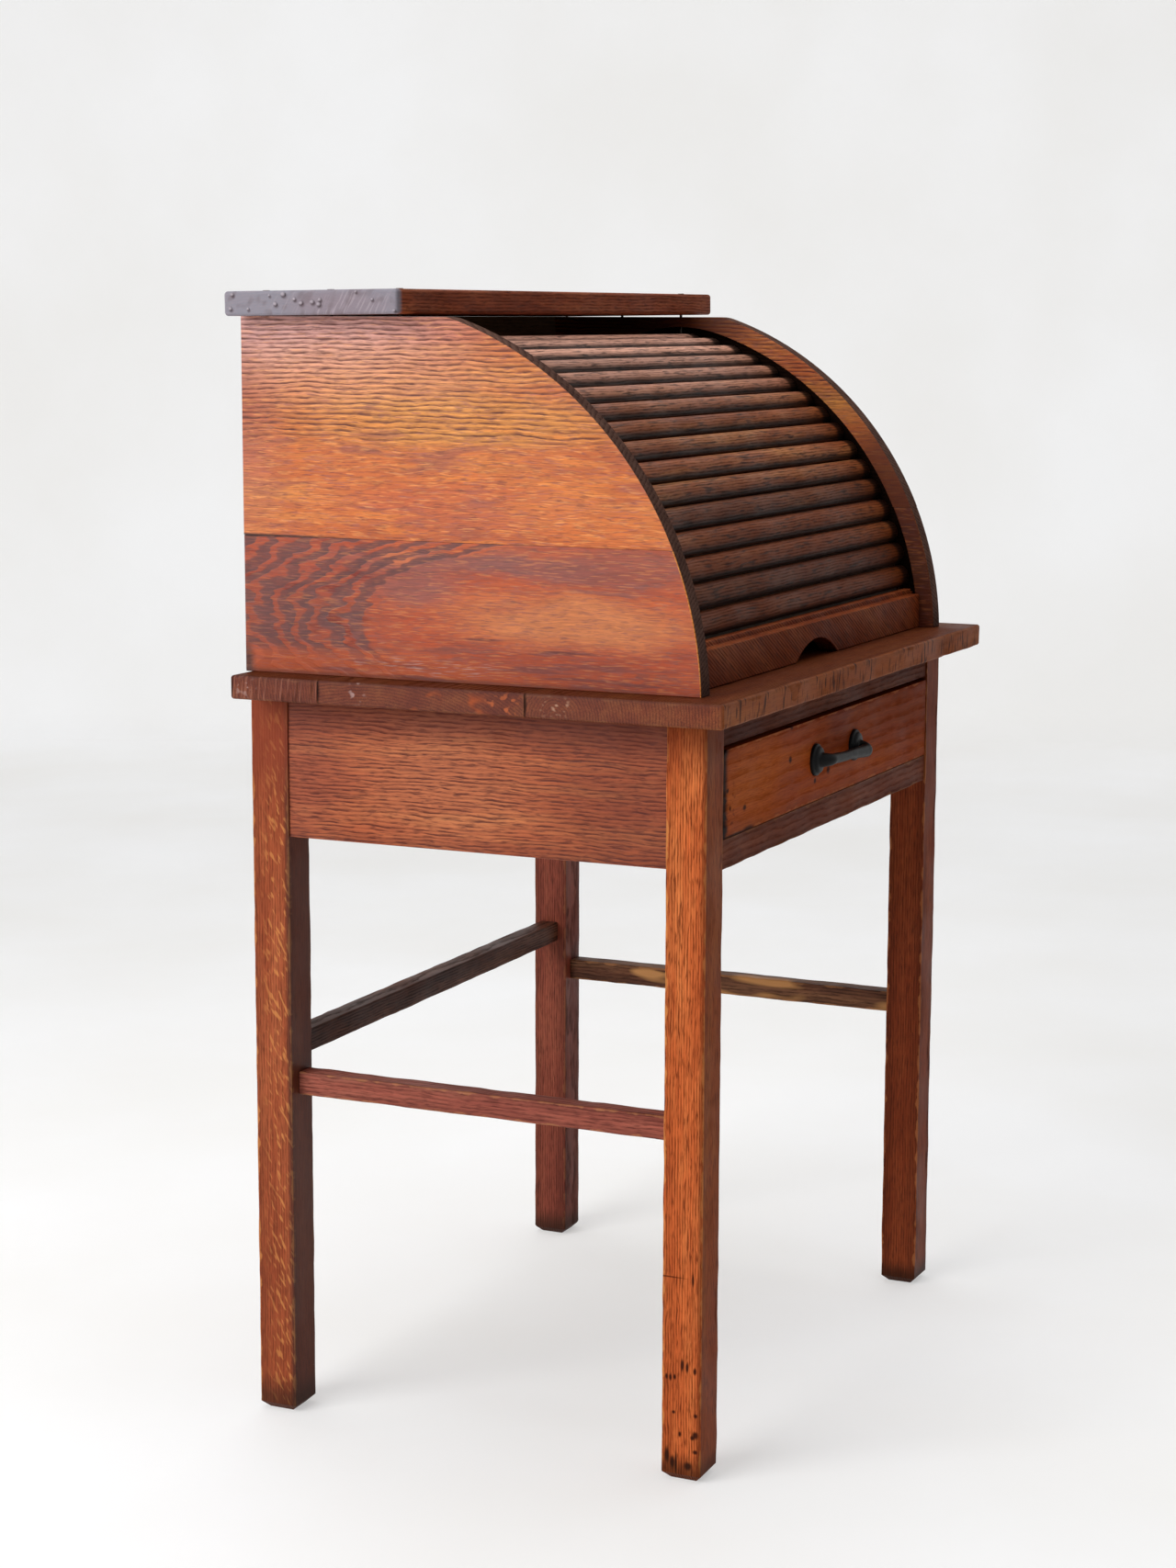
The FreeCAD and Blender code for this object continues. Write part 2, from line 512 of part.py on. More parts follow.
# Drawer box: sides butted to the front, bottom let into grooves.
bottom = block("drawer_bottom", "-drawer_side_half + drawer_side_thick - drawer_groove",
               "drawer_front_back - drawer_groove", "drawer_bottom_low",
               "2 * (drawer_side_half - drawer_side_thick + drawer_groove)",
               "drawer_groove + drawer_side_long", "drawer_bottom_thick")
for side in SIDES:
    low_x = "-drawer_side_half" if side == "left" else "drawer_side_half - drawer_side_thick"
    plank = block("drawer_side_%s_plank" % side, low_x, "drawer_front_back", "drawer_side_low",
                  "drawer_side_thick", "drawer_side_long", "drawer_side_high")
    nodes.append(cut("drawer_side_" + side, plank, bottom))
nodes.append(block("drawer_back", "-drawer_side_half + drawer_side_thick",
                   "drawer_front_back + drawer_side_long - drawer_side_thick",
                   "drawer_bottom_low + drawer_bottom_thick",
                   "2 * (drawer_side_half - drawer_side_thick)", "drawer_side_thick",
                   "drawer_side_high - drawer_bottom_up - drawer_bottom_thick"))
nodes.append(bottom)

# Iron pull: two domed oval feet, short posts and a waisted round bar.
grip = doc.addObject("PartDesign::Body", "pull_bar")
flat = flat_on(grip, "XZ_Plane")
tip = size("bar_tip")
end = size("bar_end")
slant = end * 0.5 ** 0.5
flat.addGeometry(Part.LineSegment(FreeCAD.Vector(-tip - end, 0, 0), FreeCAD.Vector(tip + end, 0, 0)), False)
flat.addGeometry(Part.Arc(FreeCAD.Vector(tip + end, 0, 0), FreeCAD.Vector(tip + slant, slant, 0),
                          FreeCAD.Vector(tip, end, 0)), False)
flat.addGeometry(Part.Arc(FreeCAD.Vector(tip, end, 0), FreeCAD.Vector(0, size("bar_waist"), 0),
                          FreeCAD.Vector(-tip, end, 0)), False)
flat.addGeometry(Part.Arc(FreeCAD.Vector(-tip, end, 0), FreeCAD.Vector(-tip - slant, slant, 0),
                          FreeCAD.Vector(-tip - end, 0, 0)), False)
flat.addConstraint(Sketcher.Constraint("PointOnObject", 0, 1, -1))
flat.addConstraint(Sketcher.Constraint("PointOnObject", 0, 2, -1))
flat.addConstraint(Sketcher.Constraint("PointOnObject", 1, 3, -1))
flat.addConstraint(Sketcher.Constraint("PointOnObject", 3, 3, -1))
for line, start, joined, finish in ((0, 2, 1, 1), (1, 2, 2, 2), (2, 1, 3, 1), (3, 2, 0, 1)):
    flat.addConstraint(Sketcher.Constraint("Coincident", line, start, joined, finish))
flat.addConstraint(Sketcher.Constraint("Vertical", 1, 3, 1, 2))
flat.addConstraint(Sketcher.Constraint("Vertical", 3, 3, 3, 1))
pin(flat, "DistanceX", 1, 3, "bar_tip", tip)
pin(flat, "DistanceX", 3, 3, "-bar_tip", -tip)
size_arc(flat, 1, "bar_end", end)
size_arc(flat, 2, "waist_radius", size("waist_radius"))
size_arc(flat, 3, "bar_end", end)
turned = grip.newObject("PartDesign::Revolution", "pull_bar_turned")
turned.Profile = flat
turned.ReferenceAxis = (flat, ["H_Axis"])
turned.Angle = 360
bind(grip, y="drawer_face - bar_proud", z="pull_height")

screws = []
screw_holes = []
pull_pieces = [grip]
for side in SIDES:
    x = "-pull_half" if side == "left" else "pull_half"
    egg = doc.addObject("Part::Ellipsoid", "pull_foot_%s_egg" % side)
    bind(egg, Radius1="boss_high", Radius2="boss_wide", Radius3="boss_proud", x=x, y="drawer_face",
         z="pull_height")
    front = block("pull_foot_%s_front" % side, x + " - boss_wide - tool_spare",
                  "drawer_face - boss_proud - tool_spare", "pull_height - boss_high - tool_spare",
                  "2 * (boss_wide + tool_spare)", "boss_proud + tool_spare", "2 * (boss_high + tool_spare)")
    foot = doc.addObject("Part::Common", "pull_foot_" + side)
    foot.Base = egg
    foot.Tool = front
    post = doc.addObject("Part::Cone", "pull_post_" + side)
    post.Placement = FreeCAD.Placement(FreeCAD.Vector(), FreeCAD.Rotation(FreeCAD.Vector(1, 0, 0), 90))
    bind(post, Radius1="post_foot", Radius2="post_tip", Height="bar_proud",
         x=x, y="drawer_face", z="pull_height")
    pull_pieces += [foot, post]
    rods = []
    for word, radius, start, long in (
            ("shank", "screw_radius", "drawer_front_back", "drawer_front_thick + screw_bite"),
            ("head", "screw_head", "drawer_front_back + screw_head_high", "screw_head_high"),
            ("hole", "screw_radius + screw_play", "drawer_front_back + tool_spare",
             "drawer_front_thick + screw_bite + screw_play + tool_spare")):
        rod = doc.addObject("Part::Cylinder", "pull_screw_%s_%s" % (side, word))
        rod.Placement = FreeCAD.Placement(FreeCAD.Vector(), FreeCAD.Rotation(FreeCAD.Vector(1, 0, 0), 90))
        bind(rod, Radius=radius, Height=long, x=x, y=start, z="pull_height")
        rods.append(rod)
    screws.append(fuse("pull_screw_" + side, rods[:2]))
    screw_holes.append(rods[2])
nodes.append(cut("drawer_pull", fuse("pull_casting", pull_pieces), fuse("pull_holes", screw_holes)))
pull_screws = doc.addObject("Part::Compound", "pull_screws")
pull_screws.Links = screws
nodes.append(pull_screws)
face_board = block("drawer_front_plank", "-drawer_half", "drawer_face", "drawer_rail_top + drawer_play",
                   "2 * drawer_half", "drawer_front_thick", "drawer_opening - drawer_top_gap - drawer_play")
nodes.append(cut("drawer_front", face_board, fuse("drawer_front_cuts", [bottom] + screw_holes)))

doc.recompute()
for piece in doc.Objects:
    if "Invalid" in piece.State or "Error" in piece.State:
        raise RuntimeError("%s did not build" % piece.Name)
os.makedirs("parts", exist_ok=True)
for piece in nodes:
    if piece.Shape.isNull() or not piece.Shape.isValid():
        raise RuntimeError("%s has no sound shape" % piece.Name)
    piece.Label = piece.Name
    piece.Shape.exportStep("parts/%s.step" % piece.Label)
print(len(nodes), "pieces")
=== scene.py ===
# %% [markdown]
# # A small oak roll top desk
# The desk's boards come from the CAD model as a fixed frame. This lesson puts the camera where the
# photographer stood, softens the boards' edges, gives each board an old oak finish, casts the drawer's
# pull and lays canvas behind the slats. Everything is in metres, +Z is up, and the front faces -Y.

# %% Load the desk
import json
import math
import random

import bpy
from mathutils import Matrix, Vector


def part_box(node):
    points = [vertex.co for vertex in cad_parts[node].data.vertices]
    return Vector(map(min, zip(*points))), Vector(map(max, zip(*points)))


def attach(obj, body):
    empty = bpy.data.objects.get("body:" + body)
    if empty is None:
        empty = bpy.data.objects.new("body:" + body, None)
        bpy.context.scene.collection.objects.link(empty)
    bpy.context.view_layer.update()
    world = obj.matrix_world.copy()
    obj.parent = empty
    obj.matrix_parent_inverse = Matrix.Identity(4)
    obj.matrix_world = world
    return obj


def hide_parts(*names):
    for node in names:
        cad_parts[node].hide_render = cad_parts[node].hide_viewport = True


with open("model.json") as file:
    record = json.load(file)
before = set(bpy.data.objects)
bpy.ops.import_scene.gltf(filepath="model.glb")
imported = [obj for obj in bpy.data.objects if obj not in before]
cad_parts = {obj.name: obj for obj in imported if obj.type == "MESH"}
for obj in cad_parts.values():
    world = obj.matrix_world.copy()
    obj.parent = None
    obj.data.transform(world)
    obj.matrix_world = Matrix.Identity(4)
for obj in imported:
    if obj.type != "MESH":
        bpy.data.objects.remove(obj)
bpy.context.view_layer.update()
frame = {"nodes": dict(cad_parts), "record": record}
nodes = frame["nodes"]
bodies = frame["record"]["behaviour"]["bodies"]

# %% [markdown]
# ## The camera
# The desk was photographed from its left front, a little above the case. A camera could be turned
# by eye until it looks right. Here its place, heading and lens come from a fit to the desk's own
# corners, so the render's outline falls on the photograph's.

# %% Camera
EYE = Vector((-2.8104, -1.2256, 1.0922))
HEADING, PITCH, LEAN = math.radians(24.4255), math.radians(-9.0055), math.radians(0.188)
LENS, SENSOR = 68.05, 36   # millimetres

ahead = Vector((math.cos(HEADING) * math.cos(PITCH), math.sin(HEADING) * math.cos(PITCH), math.sin(PITCH)))
level = Vector((math.sin(HEADING), -math.cos(HEADING), 0))
upright = level.cross(ahead)
right = level * math.cos(LEAN) + upright * math.sin(LEAN)
above = upright * math.cos(LEAN) - level * math.sin(LEAN)

bpy.ops.object.camera_add()
camera = bpy.context.object
camera.name = "photographer"
camera.matrix_world = Matrix.Translation(EYE) @ Matrix((right, above, -ahead)).transposed().to_4x4()
camera.data.sensor_fit = "AUTO"
camera.data.sensor_width = SENSOR
camera.data.lens = LENS
bpy.context.scene.camera = camera
print("camera looks along", [round(v, 3) for v in ahead])

# %% [markdown]
# ## Colours and nodes
# Colours are written as they look on a screen, and the shader works with linear light, so one
# function turns one into the other. Another adds a shader node with its settings and links.

# %% Helpers for materials
FACTOR, FIRST, SECOND, MIXED = 0, 6, 7, 2   # sockets of a Mix node that mixes colours
WAVE = 314                                  # a Wave texture of this scale repeats every millimetre


def shade(text):
    """Linear colour of an sRGB hex value."""
    parts = [int(text[i:i + 2], 16) / 255 for i in (1, 3, 5)]
    return [p / 12.92 if p <= 0.04045 else ((p + 0.055) / 1.055) ** 2.4 for p in parts] + [1.0]


def node(tree, kind, inputs=None, stops=(), **settings):
    """Add a shader node. Inputs are numbers, hex colours or other nodes' outputs, and stops are a ramp's."""
    made = tree.nodes.new("ShaderNode" + kind)
    for name, value in settings.items():
        setattr(made, name, value)
    for socket, value in (inputs or {}).items():
        if isinstance(value, bpy.types.NodeSocket):
            tree.links.new(value, made.inputs[socket])
        else:
            made.inputs[socket].default_value = shade(value) if isinstance(value, str) else value
    for number, (place, colour) in enumerate(stops):
        ramp = made.color_ramp.elements
        stop = ramp[number] if number < 2 else ramp.new(place)
        stop.position = place
        stop.color = shade(colour) if isinstance(colour, str) else (colour, colour, colour, 1)
    return made


def new_material(name):
    """An empty material with its Principled shader: (material, tree, shader)."""
    made = bpy.data.materials.new(name)
    made.use_nodes = True
    return made, made.node_tree, made.node_tree.nodes["Principled BSDF"]


print("a mid grey in linear light:", [round(v, 3) for v in shade("#808080")])

# %% [markdown]
# ## Choosing what an operator acts on
# Blender's operators act on all that is selected, and the CAD pieces come in selected. So everything
# is deselected first, and edges are then chosen by where their two ends lie. Their numbers would be
# shorter to write, but they change with every cut.

# %% Helpers for selecting
def deselect():
    """Leave nothing selected, so that an operator acts on one piece alone."""
    bpy.ops.object.select_all(action="DESELECT")


def pick_edges(piece, chosen):
    """In edit mode, select the edges of a piece whose two ends are both chosen."""
    bpy.ops.mesh.select_all(action="DESELECT")
    bpy.ops.object.mode_set(mode="OBJECT")
    for edge in piece.data.edges:
        edge.select = all(chosen(piece.data.vertices[v].co) for v in edge.vertices)
    bpy.ops.object.mode_set(mode="EDIT")


deselect()
print("selected pieces:", len(bpy.context.selected_objects))

# %% [markdown]
# ## The studio
# The desk stands on a pale painted floor in front of a pale wall. A plane for each would leave a hard
# line between them, so one sheet is bent up at the back instead, like a paper sweep. To the camera,
# part of its brightness is its own, which keeps it pale without more light on the desk.

# %% Floor and wall
FLOOR, WALL_AT, WALL_HIGH = 24.0, 4.6, 9.0   # the floor's width, how far back the wall stands, its height
SWEEP = 0.08                                 # how far from its corner the sheet starts to bend

deselect()
bpy.ops.mesh.primitive_plane_add(size=1)
sweep = bpy.context.object
sweep.name = "floor_and_wall"
bpy.ops.object.mode_set(mode="EDIT")
bpy.ops.transform.resize(value=(FLOOR, FLOOR, 1))
pick_edges(sweep, lambda end: end.x > 0)
bpy.ops.transform.translate(value=(WALL_AT - FLOOR / 2, 0, 0))
bpy.ops.mesh.extrude_region_move(TRANSFORM_OT_translate={"value": (0, 0, WALL_HIGH)})
pick_edges(sweep, lambda end: end.x > 0 and end.z < SWEEP / 2)
bpy.ops.mesh.bevel(offset=SWEEP, segments=8)
bpy.ops.mesh.select_all(action="SELECT")
bpy.ops.transform.rotate(value=-HEADING, orient_axis="Z", center_override=(0, 0, 0))
bpy.ops.object.mode_set(mode="OBJECT")
bpy.ops.object.shade_smooth_by_angle()
print("floor and wall:", len(sweep.data.polygons), "faces")


# %% Painted floor
def seen(tree):
    """1 for what the camera sees, in a gloss or through glass too, and 0 for light on its way to the desk."""
    path = node(tree, "LightPath").outputs
    part = node(tree, "Math", {0: path["Is Camera Ray"], 1: path["Is Glossy Ray"]}, operation="MAXIMUM")
    part = node(tree, "Math", {0: part.outputs[0], 1: path["Is Transmission Ray"]}, operation="MAXIMUM")
    return part.outputs[0]


NEAR, FAR = 1.5, 5.0               # metres from the desk
NEAR_SHARE, FAR_SHARE = 0.45, 0.7  # how much of the floor's brightness is its own there

# Painted concrete: chalky, nearly white, with faint clouds half a metre wide where it has been walked on.
paint, tree, shader = new_material("painted_concrete")
place = node(tree, "TexCoord").outputs["Object"]
clouds = node(tree, "TexNoise", {"Vector": place, "Scale": 1.6, "Detail": 6})
tone = node(tree, "ValToRGB", {"Fac": clouds.outputs["Fac"]}, [(0.35, "#FAF9F7"), (0.65, "#FFFFFF")])
tree.links.new(tone.outputs["Color"], shader.inputs["Base Color"])
shader.inputs["Roughness"].default_value = 0.7
glow = node(tree, "Emission", {"Color": tone.outputs["Color"], "Strength": 1.0})
far = node(tree, "VectorMath", {0: place}, operation="LENGTH").outputs["Value"]
own = node(tree, "MapRange", {"Value": far, "From Min": NEAR, "From Max": FAR,
                              "To Min": NEAR_SHARE, "To Max": FAR_SHARE})
part = node(tree, "Math", {0: seen(tree), 1: own.outputs[0]}, operation="MULTIPLY")
both = node(tree, "MixShader", {0: part.outputs[0], 1: shader.outputs["BSDF"], 2: glow.outputs["Emission"]})
tree.links.new(both.outputs[0], tree.nodes["Material Output"].inputs["Surface"])
sweep.data.materials.append(paint)
print("floor paint:", len(tree.nodes), "nodes")

# %% [markdown]
# ## The light
# Light comes softly from the left and a little behind, as from a tall window, so the left faces are
# bright and the front is in half shade. A sun would cast hard shadows. A large area lamp gives the
# window's soft ones, and the world fills the rest of the room.

# %% Window and room light
FILL, PALE = 0.2, 0.86   # the room's light on the desk, and how bright the room looks

bpy.context.scene.view_settings.view_transform = "Standard"
room = bpy.data.worlds.new("room")
bpy.context.scene.world = room
room.use_nodes = True
background = room.node_tree.nodes["Background"]
background.inputs["Color"].default_value = shade("#F3F5FA")
strength = node(room.node_tree, "MapRange", {"Value": seen(room.node_tree), "To Min": FILL, "To Max": PALE})
room.node_tree.links.new(strength.outputs[0], background.inputs["Strength"])


def window(name, place, aim, wide, high, watts):
    """A soft lamp like a window, at place and facing aim."""
    bpy.ops.object.light_add(type="AREA", location=place)
    lamp = bpy.context.object
    lamp.name = name
    lamp.rotation_euler = (Vector(aim) - Vector(place)).to_track_quat("-Z", "Y").to_euler()
    lamp.data.shape = "RECTANGLE"
    lamp.data.size, lamp.data.size_y = wide, high
    lamp.data.energy = watts


window("window_left", (-3.0, 1.35, 2.0), (0, 0, 0.9), wide=2.4, high=2.0, watts=100)
window("skylight", (0.3, 0.2, 3.4), (0, 0, 0), wide=3.0, high=3.0, watts=72)

# %% [markdown]
# ## Softer edges
# No old board has a knife edge: handling rounds the arrises, and the light catches them. The CAD
# boards are exact, so each is copied, its loose triangles are merged and its flat faces joined, and
# its sharp edges are bevelled. The copy then stands in the board's place. Large flat faces keep
# straight normals, or the light would slide across them as if they were bowed. Legs and rails have
# been knocked all along, which a bevel alone doesn't show, so they are cut across in steps and noise
# moves the cuts a little.

# %% Sizes and helpers for the edges
BODY_OF = {name: body for body, names in bodies.items() for name in names}
NOT_BOARDS = ("top_nails", "pull_screws", "drawer_pull", "tambour_canvas")
# how far each kind of board is rounded
ROUND = {"leg": 0.0016, "desktop": 0.0008, "top_board": 0.0012, "side_stretcher": 0.0016,
         "back_stretcher": 0.0016, "slat": 0.0005, "lift_rail": 0.0009, "drawer_front": 0.0012,
         "left_side": 0.0009, "right_side": 0.0009}
OTHER_ROUND = 0.0006
# the knocked boards, each with the axis of its length
DENTED = {"leg": 2, "side_stretcher": 1, "back_stretcher": 0, "drawer_rail": 0, "desktop_front": 0}
KNOCK_STEP, KNOCK_DEEP, KNOCK_WIDE = 0.012, 0.0016, 0.03
SHARP, FLAT = math.radians(35), math.radians(0.6)   # edges sharper than this are rounded, flatter ones joined
LOST_CORNER = 0.011              # the drawer front's knocked-off corner
HAIR, MERGE = 0.0001, 0.00002    # a point this near lies on a face, or is merged with its neighbour

knocks = bpy.data.textures.new("knocks", "CLOUDS")
knocks.noise_scale = KNOCK_WIDE


def add_modifier(piece, kind, **settings):
    """Add a modifier to the active piece, set it and apply it."""
    bpy.ops.object.modifier_add(type=kind)
    made = piece.modifiers[-1]
    for name, value in settings.items():
        setattr(made, name, value)
    bpy.ops.object.modifier_apply(modifier=made.name)


def starts(table, name):
    """A table's value for the pieces whose names start alike."""
    return next((value for start, value in table.items() if name.startswith(start)), None)


def box_of(name):
    """A board's lowest and highest corner."""
    return [Vector(corner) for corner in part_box(name)]


def knock(board, long, low, high):
    """Cut a board across its length in equal steps, and move the cuts by noise."""
    across = Vector([float(axis == long) for axis in range(3)])
    for number in range(1, int((high[long] - low[long]) / KNOCK_STEP)):
        bpy.ops.mesh.select_all(action="SELECT")
        bpy.ops.mesh.bisect(plane_co=across * (low[long] + KNOCK_STEP * number), plane_no=across)
    bpy.ops.object.mode_set(mode="OBJECT")
    add_modifier(board, "DISPLACE", texture=knocks, texture_coords="LOCAL",
                 strength=KNOCK_DEEP, mid_level=0.5)


print("kinds of board with a rounding of their own:", len(ROUND))


# %% Soften each board
def soften(name):
    """Copy a CAD board, merge its triangles, bevel its sharp edges and put it in the board's place."""
    deselect()
    mesh = nodes[name].data.copy()
    mesh.materials.clear()
    board = bpy.data.objects.new(name + "_worn", mesh)
    bpy.context.collection.objects.link(board)
    board.select_set(True)
    bpy.context.view_layer.objects.active = board
    bpy.ops.object.mode_set(mode="EDIT")
    bpy.ops.mesh.select_all(action="SELECT")
    bpy.ops.mesh.remove_doubles(threshold=MERGE)
    bpy.ops.mesh.dissolve_limited(angle_limit=FLAT)
    bpy.ops.mesh.select_mode(type="EDGE")
    low, high = box_of(name)
    if name == "drawer_front":
        pick_edges(board, lambda end: end.x < low.x + HAIR and end.z > high.z - HAIR)
        bpy.ops.mesh.bevel(offset=LOST_CORNER, segments=5, profile=0.5)
    bpy.ops.mesh.select_all(action="DESELECT")
    bpy.ops.mesh.edges_select_sharp(sharpness=SHARP)
    bpy.ops.mesh.bevel(offset=starts(ROUND, name) or OTHER_ROUND, segments=2, profile=0.5, clamp_overlap=True)
    long = starts(DENTED, name)
    if long is not None:
        knock(board, long, low, high)
    bpy.ops.object.mode_set(mode="OBJECT")
    bpy.ops.object.shade_smooth_by_angle(angle=SHARP)
    add_modifier(board, "WEIGHTED_NORMAL", weight=100, keep_sharp=True)
    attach(board, BODY_OF[name])
    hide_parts(name)
    return board


boards = {name: soften(name) for name in nodes if name not in NOT_BOARDS}
print("softened:", len(boards), "faces:", sum(len(b.data.polygons) for b in boards.values()))

# %% [markdown]
# ## Old oak
# Oak shows long dark pores, lines at its growth rings, and pale flecks where a saw cut along its rays.
# It could be painted on as a picture. Here the pattern is solid, so that it runs through the board and
# meets at every edge: the coordinates are turned until the grain runs along X, and then stretched,
# because everything in wood is long one way and narrow the other. The pattern is built in layers, each
# by a helper of its own: drawn-out noise, growth rings, spots and stains (some of them painted light and
# shade), dirt and worn edges, and dirt with painted shade between the slats.

# %% Noise along the grain, and growth rings
HEART_EDGE = 0.004   # the plain heart of a log fades into rings over this distance each way


def drawn_out(tree, place, along, across, detail, **more):
    """Noise stretched along the grain, which repeats so many times a metre along and across it."""
    stretched = node(tree, "Mapping", {"Vector": place, "Scale": (along, across, across)}).outputs[0]
    return node(tree, "TexNoise", {"Vector": stretched, "Scale": 1, "Detail": detail, **more}).outputs


def growth_rings(tree, trunk, ring_mm, heart, band, hold):
    """A dark line of open pores at each ring round a log's heart, and hardly any in the pale heart."""
    rings = node(tree, "TexWave", {"Vector": trunk, "Scale": WAVE / ring_mm, "Distortion": 0.0},
                 wave_type="RINGS", rings_direction="X", wave_profile="SAW").outputs["Fac"]
    stops = [(0.0, 1.0), (band, 0.0), (band * hold[0], hold[1]), (0.92, 0.0), (1.0, 1.0)]
    lines = node(tree, "ValToRGB", {"Fac": rings}, stops).outputs[0]
    far = node(tree, "VectorMath", {0: trunk, 1: (0, 1, 1)}, operation="MULTIPLY").outputs[0]
    far = node(tree, "VectorMath", {0: far}, operation="LENGTH").outputs["Value"]
    ringed = node(tree, "MapRange", {"Value": far, "From Min": heart - HEART_EDGE,
                                     "From Max": heart + HEART_EDGE, "To Min": 0.1}).outputs[0]
    return node(tree, "Math", {0: lines, 1: ringed}, operation="MULTIPLY").outputs[0]


print("rings 4 mm apart need a wave of scale", WAVE / 4)

# %% Spots and stains
FULL = 0.3               # a spot has its full strength out to this share of its reach
FLAKES = (0.57, 0.67)    # a broken spot shows where its noise rises through these
UNTURNED = (0, 0, 0)


def cover(tree, place, colour, spots):
    """Lay soft spots over a colour. Each is its centre, reach, colour and amount, and if it is broken into
    flakes, their repeats a metre each way and their turn."""
    for centre, reach, tint, amount, *broken in spots:
        off = node(tree, "Mapping", {"Vector": place, "Location": centre, "Scale": reach},
                   vector_type="TEXTURE")
        far = node(tree, "VectorMath", {0: off.outputs[0]}, operation="LENGTH").outputs["Value"]
        part = node(tree, "MapRange", {"Value": far, "From Min": 1.0, "From Max": FULL, "To Max": amount},
                    interpolation_type="SMOOTHSTEP").outputs[0]
        if broken:
            repeats, turn = broken if len(broken) == 2 else (broken[0], UNTURNED)
            turned = node(tree, "Mapping", {"Vector": place, "Rotation": turn}, vector_type="TEXTURE")
            sized = node(tree, "Mapping", {"Vector": turned.outputs[0], "Scale": repeats}).outputs[0]
            noise = node(tree, "TexNoise", {"Vector": sized, "Scale": 1, "Detail": 1}).outputs["Fac"]
            flakes = node(tree, "MapRange", {"Value": noise, "From Min": FLAKES[0], "From Max": FLAKES[1]})
            part = node(tree, "Math", {0: part, 1: flakes.outputs[0]}, operation="MULTIPLY").outputs[0]
        laid = node(tree, "Mix", {FACTOR: part, FIRST: colour, SECOND: tint}, data_type="RGBA")
        colour = laid.outputs[MIXED]
    return colour


print("a spot fades from", FULL, "of its reach to its edge")

# %% Worn and grimy edges
GRIMY, PART_BARE, ALL_BARE = 0.015, 0.0022, 0.0008   # how far from an edge wood is so
RAGGED, LESS = 0.012, 0.0065                         # noise pushes those limits out by up to this, less this


def edge_distance(tree, place, low, high):
    """How far each point of a board's surface is from the board's nearest edge, in metres."""
    middle, half = (low + high) / 2, (high - low) / 2
    off = node(tree, "VectorMath", {0: place, 1: middle}, operation="SUBTRACT").outputs[0]
    off = node(tree, "VectorMath", {0: off}, operation="ABSOLUTE").outputs[0]
    left = node(tree, "VectorMath", {0: half, 1: off}, operation="SUBTRACT").outputs[0]
    x, y, z = node(tree, "SeparateXYZ", {0: left}).outputs
    least = node(tree, "Math", {0: x, 1: y}, operation="MINIMUM").outputs[0]
    most = node(tree, "Math", {0: x, 1: y}, operation="MAXIMUM").outputs[0]
    most = node(tree, "Math", {0: most, 1: z}, operation="MINIMUM").outputs[0]
    return node(tree, "Math", {0: least, 1: most}, operation="MAXIMUM").outputs[0]


def used_edges(tree, place, moved, wood, box, dirt_and_shade, grime, worn, wear):
    """Let grime gather near a board's edges, and wear the edges themselves pale, here and there."""
    rim = edge_distance(tree, place, *box)
    patchy = node(tree, "TexNoise", {"Vector": moved, "Scale": 55, "Detail": 4}).outputs["Fac"]
    ragged = node(tree, "Math", {0: patchy, 1: -RAGGED, 2: LESS}, operation="MULTIPLY_ADD").outputs[0]
    rim = node(tree, "Math", {0: rim, 1: ragged}).outputs[0]
    dirty = node(tree, "MapRange", {"Value": rim, "From Min": GRIMY, "From Max": 0.0, "To Max": grime},
                 interpolation_type="SMOOTHSTEP").outputs[0]
    wood = node(tree, "Mix", {FACTOR: dirty, FIRST: wood, SECOND: dirt_and_shade}, data_type="RGBA").outputs[MIXED]
    bare = node(tree, "MapRange", {"Value": rim, "From Min": PART_BARE, "From Max": ALL_BARE, "To Max": wear})
    bare = bare.outputs[0]
    return node(tree, "Mix", {FACTOR: bare, FIRST: wood, SECOND: worn}, data_type="RGBA").outputs[MIXED]


print("grime reaches", GRIMY * 1000, "mm from an edge")

# %% Dirt and painted shade between the slats
ROLL_CENTER, ROLL = (0.1472, 0.7391), 0.3315   # the roll's curve: its centre, back and up, and its radius
STEP, FROM = 0.0254, 0.054502                  # the slats' step along the curve, and where the first starts
LATE, MIDDLE = 0.07, 0.53                      # where a slat starts, and its clean part's centre, set a little high to paint shade low; in steps
# the joints' dark: dirt, and painted shade on each slat's lower flank and at the slats' ends
JOINT_DIRT_AND_SHADE = "#0C0604"


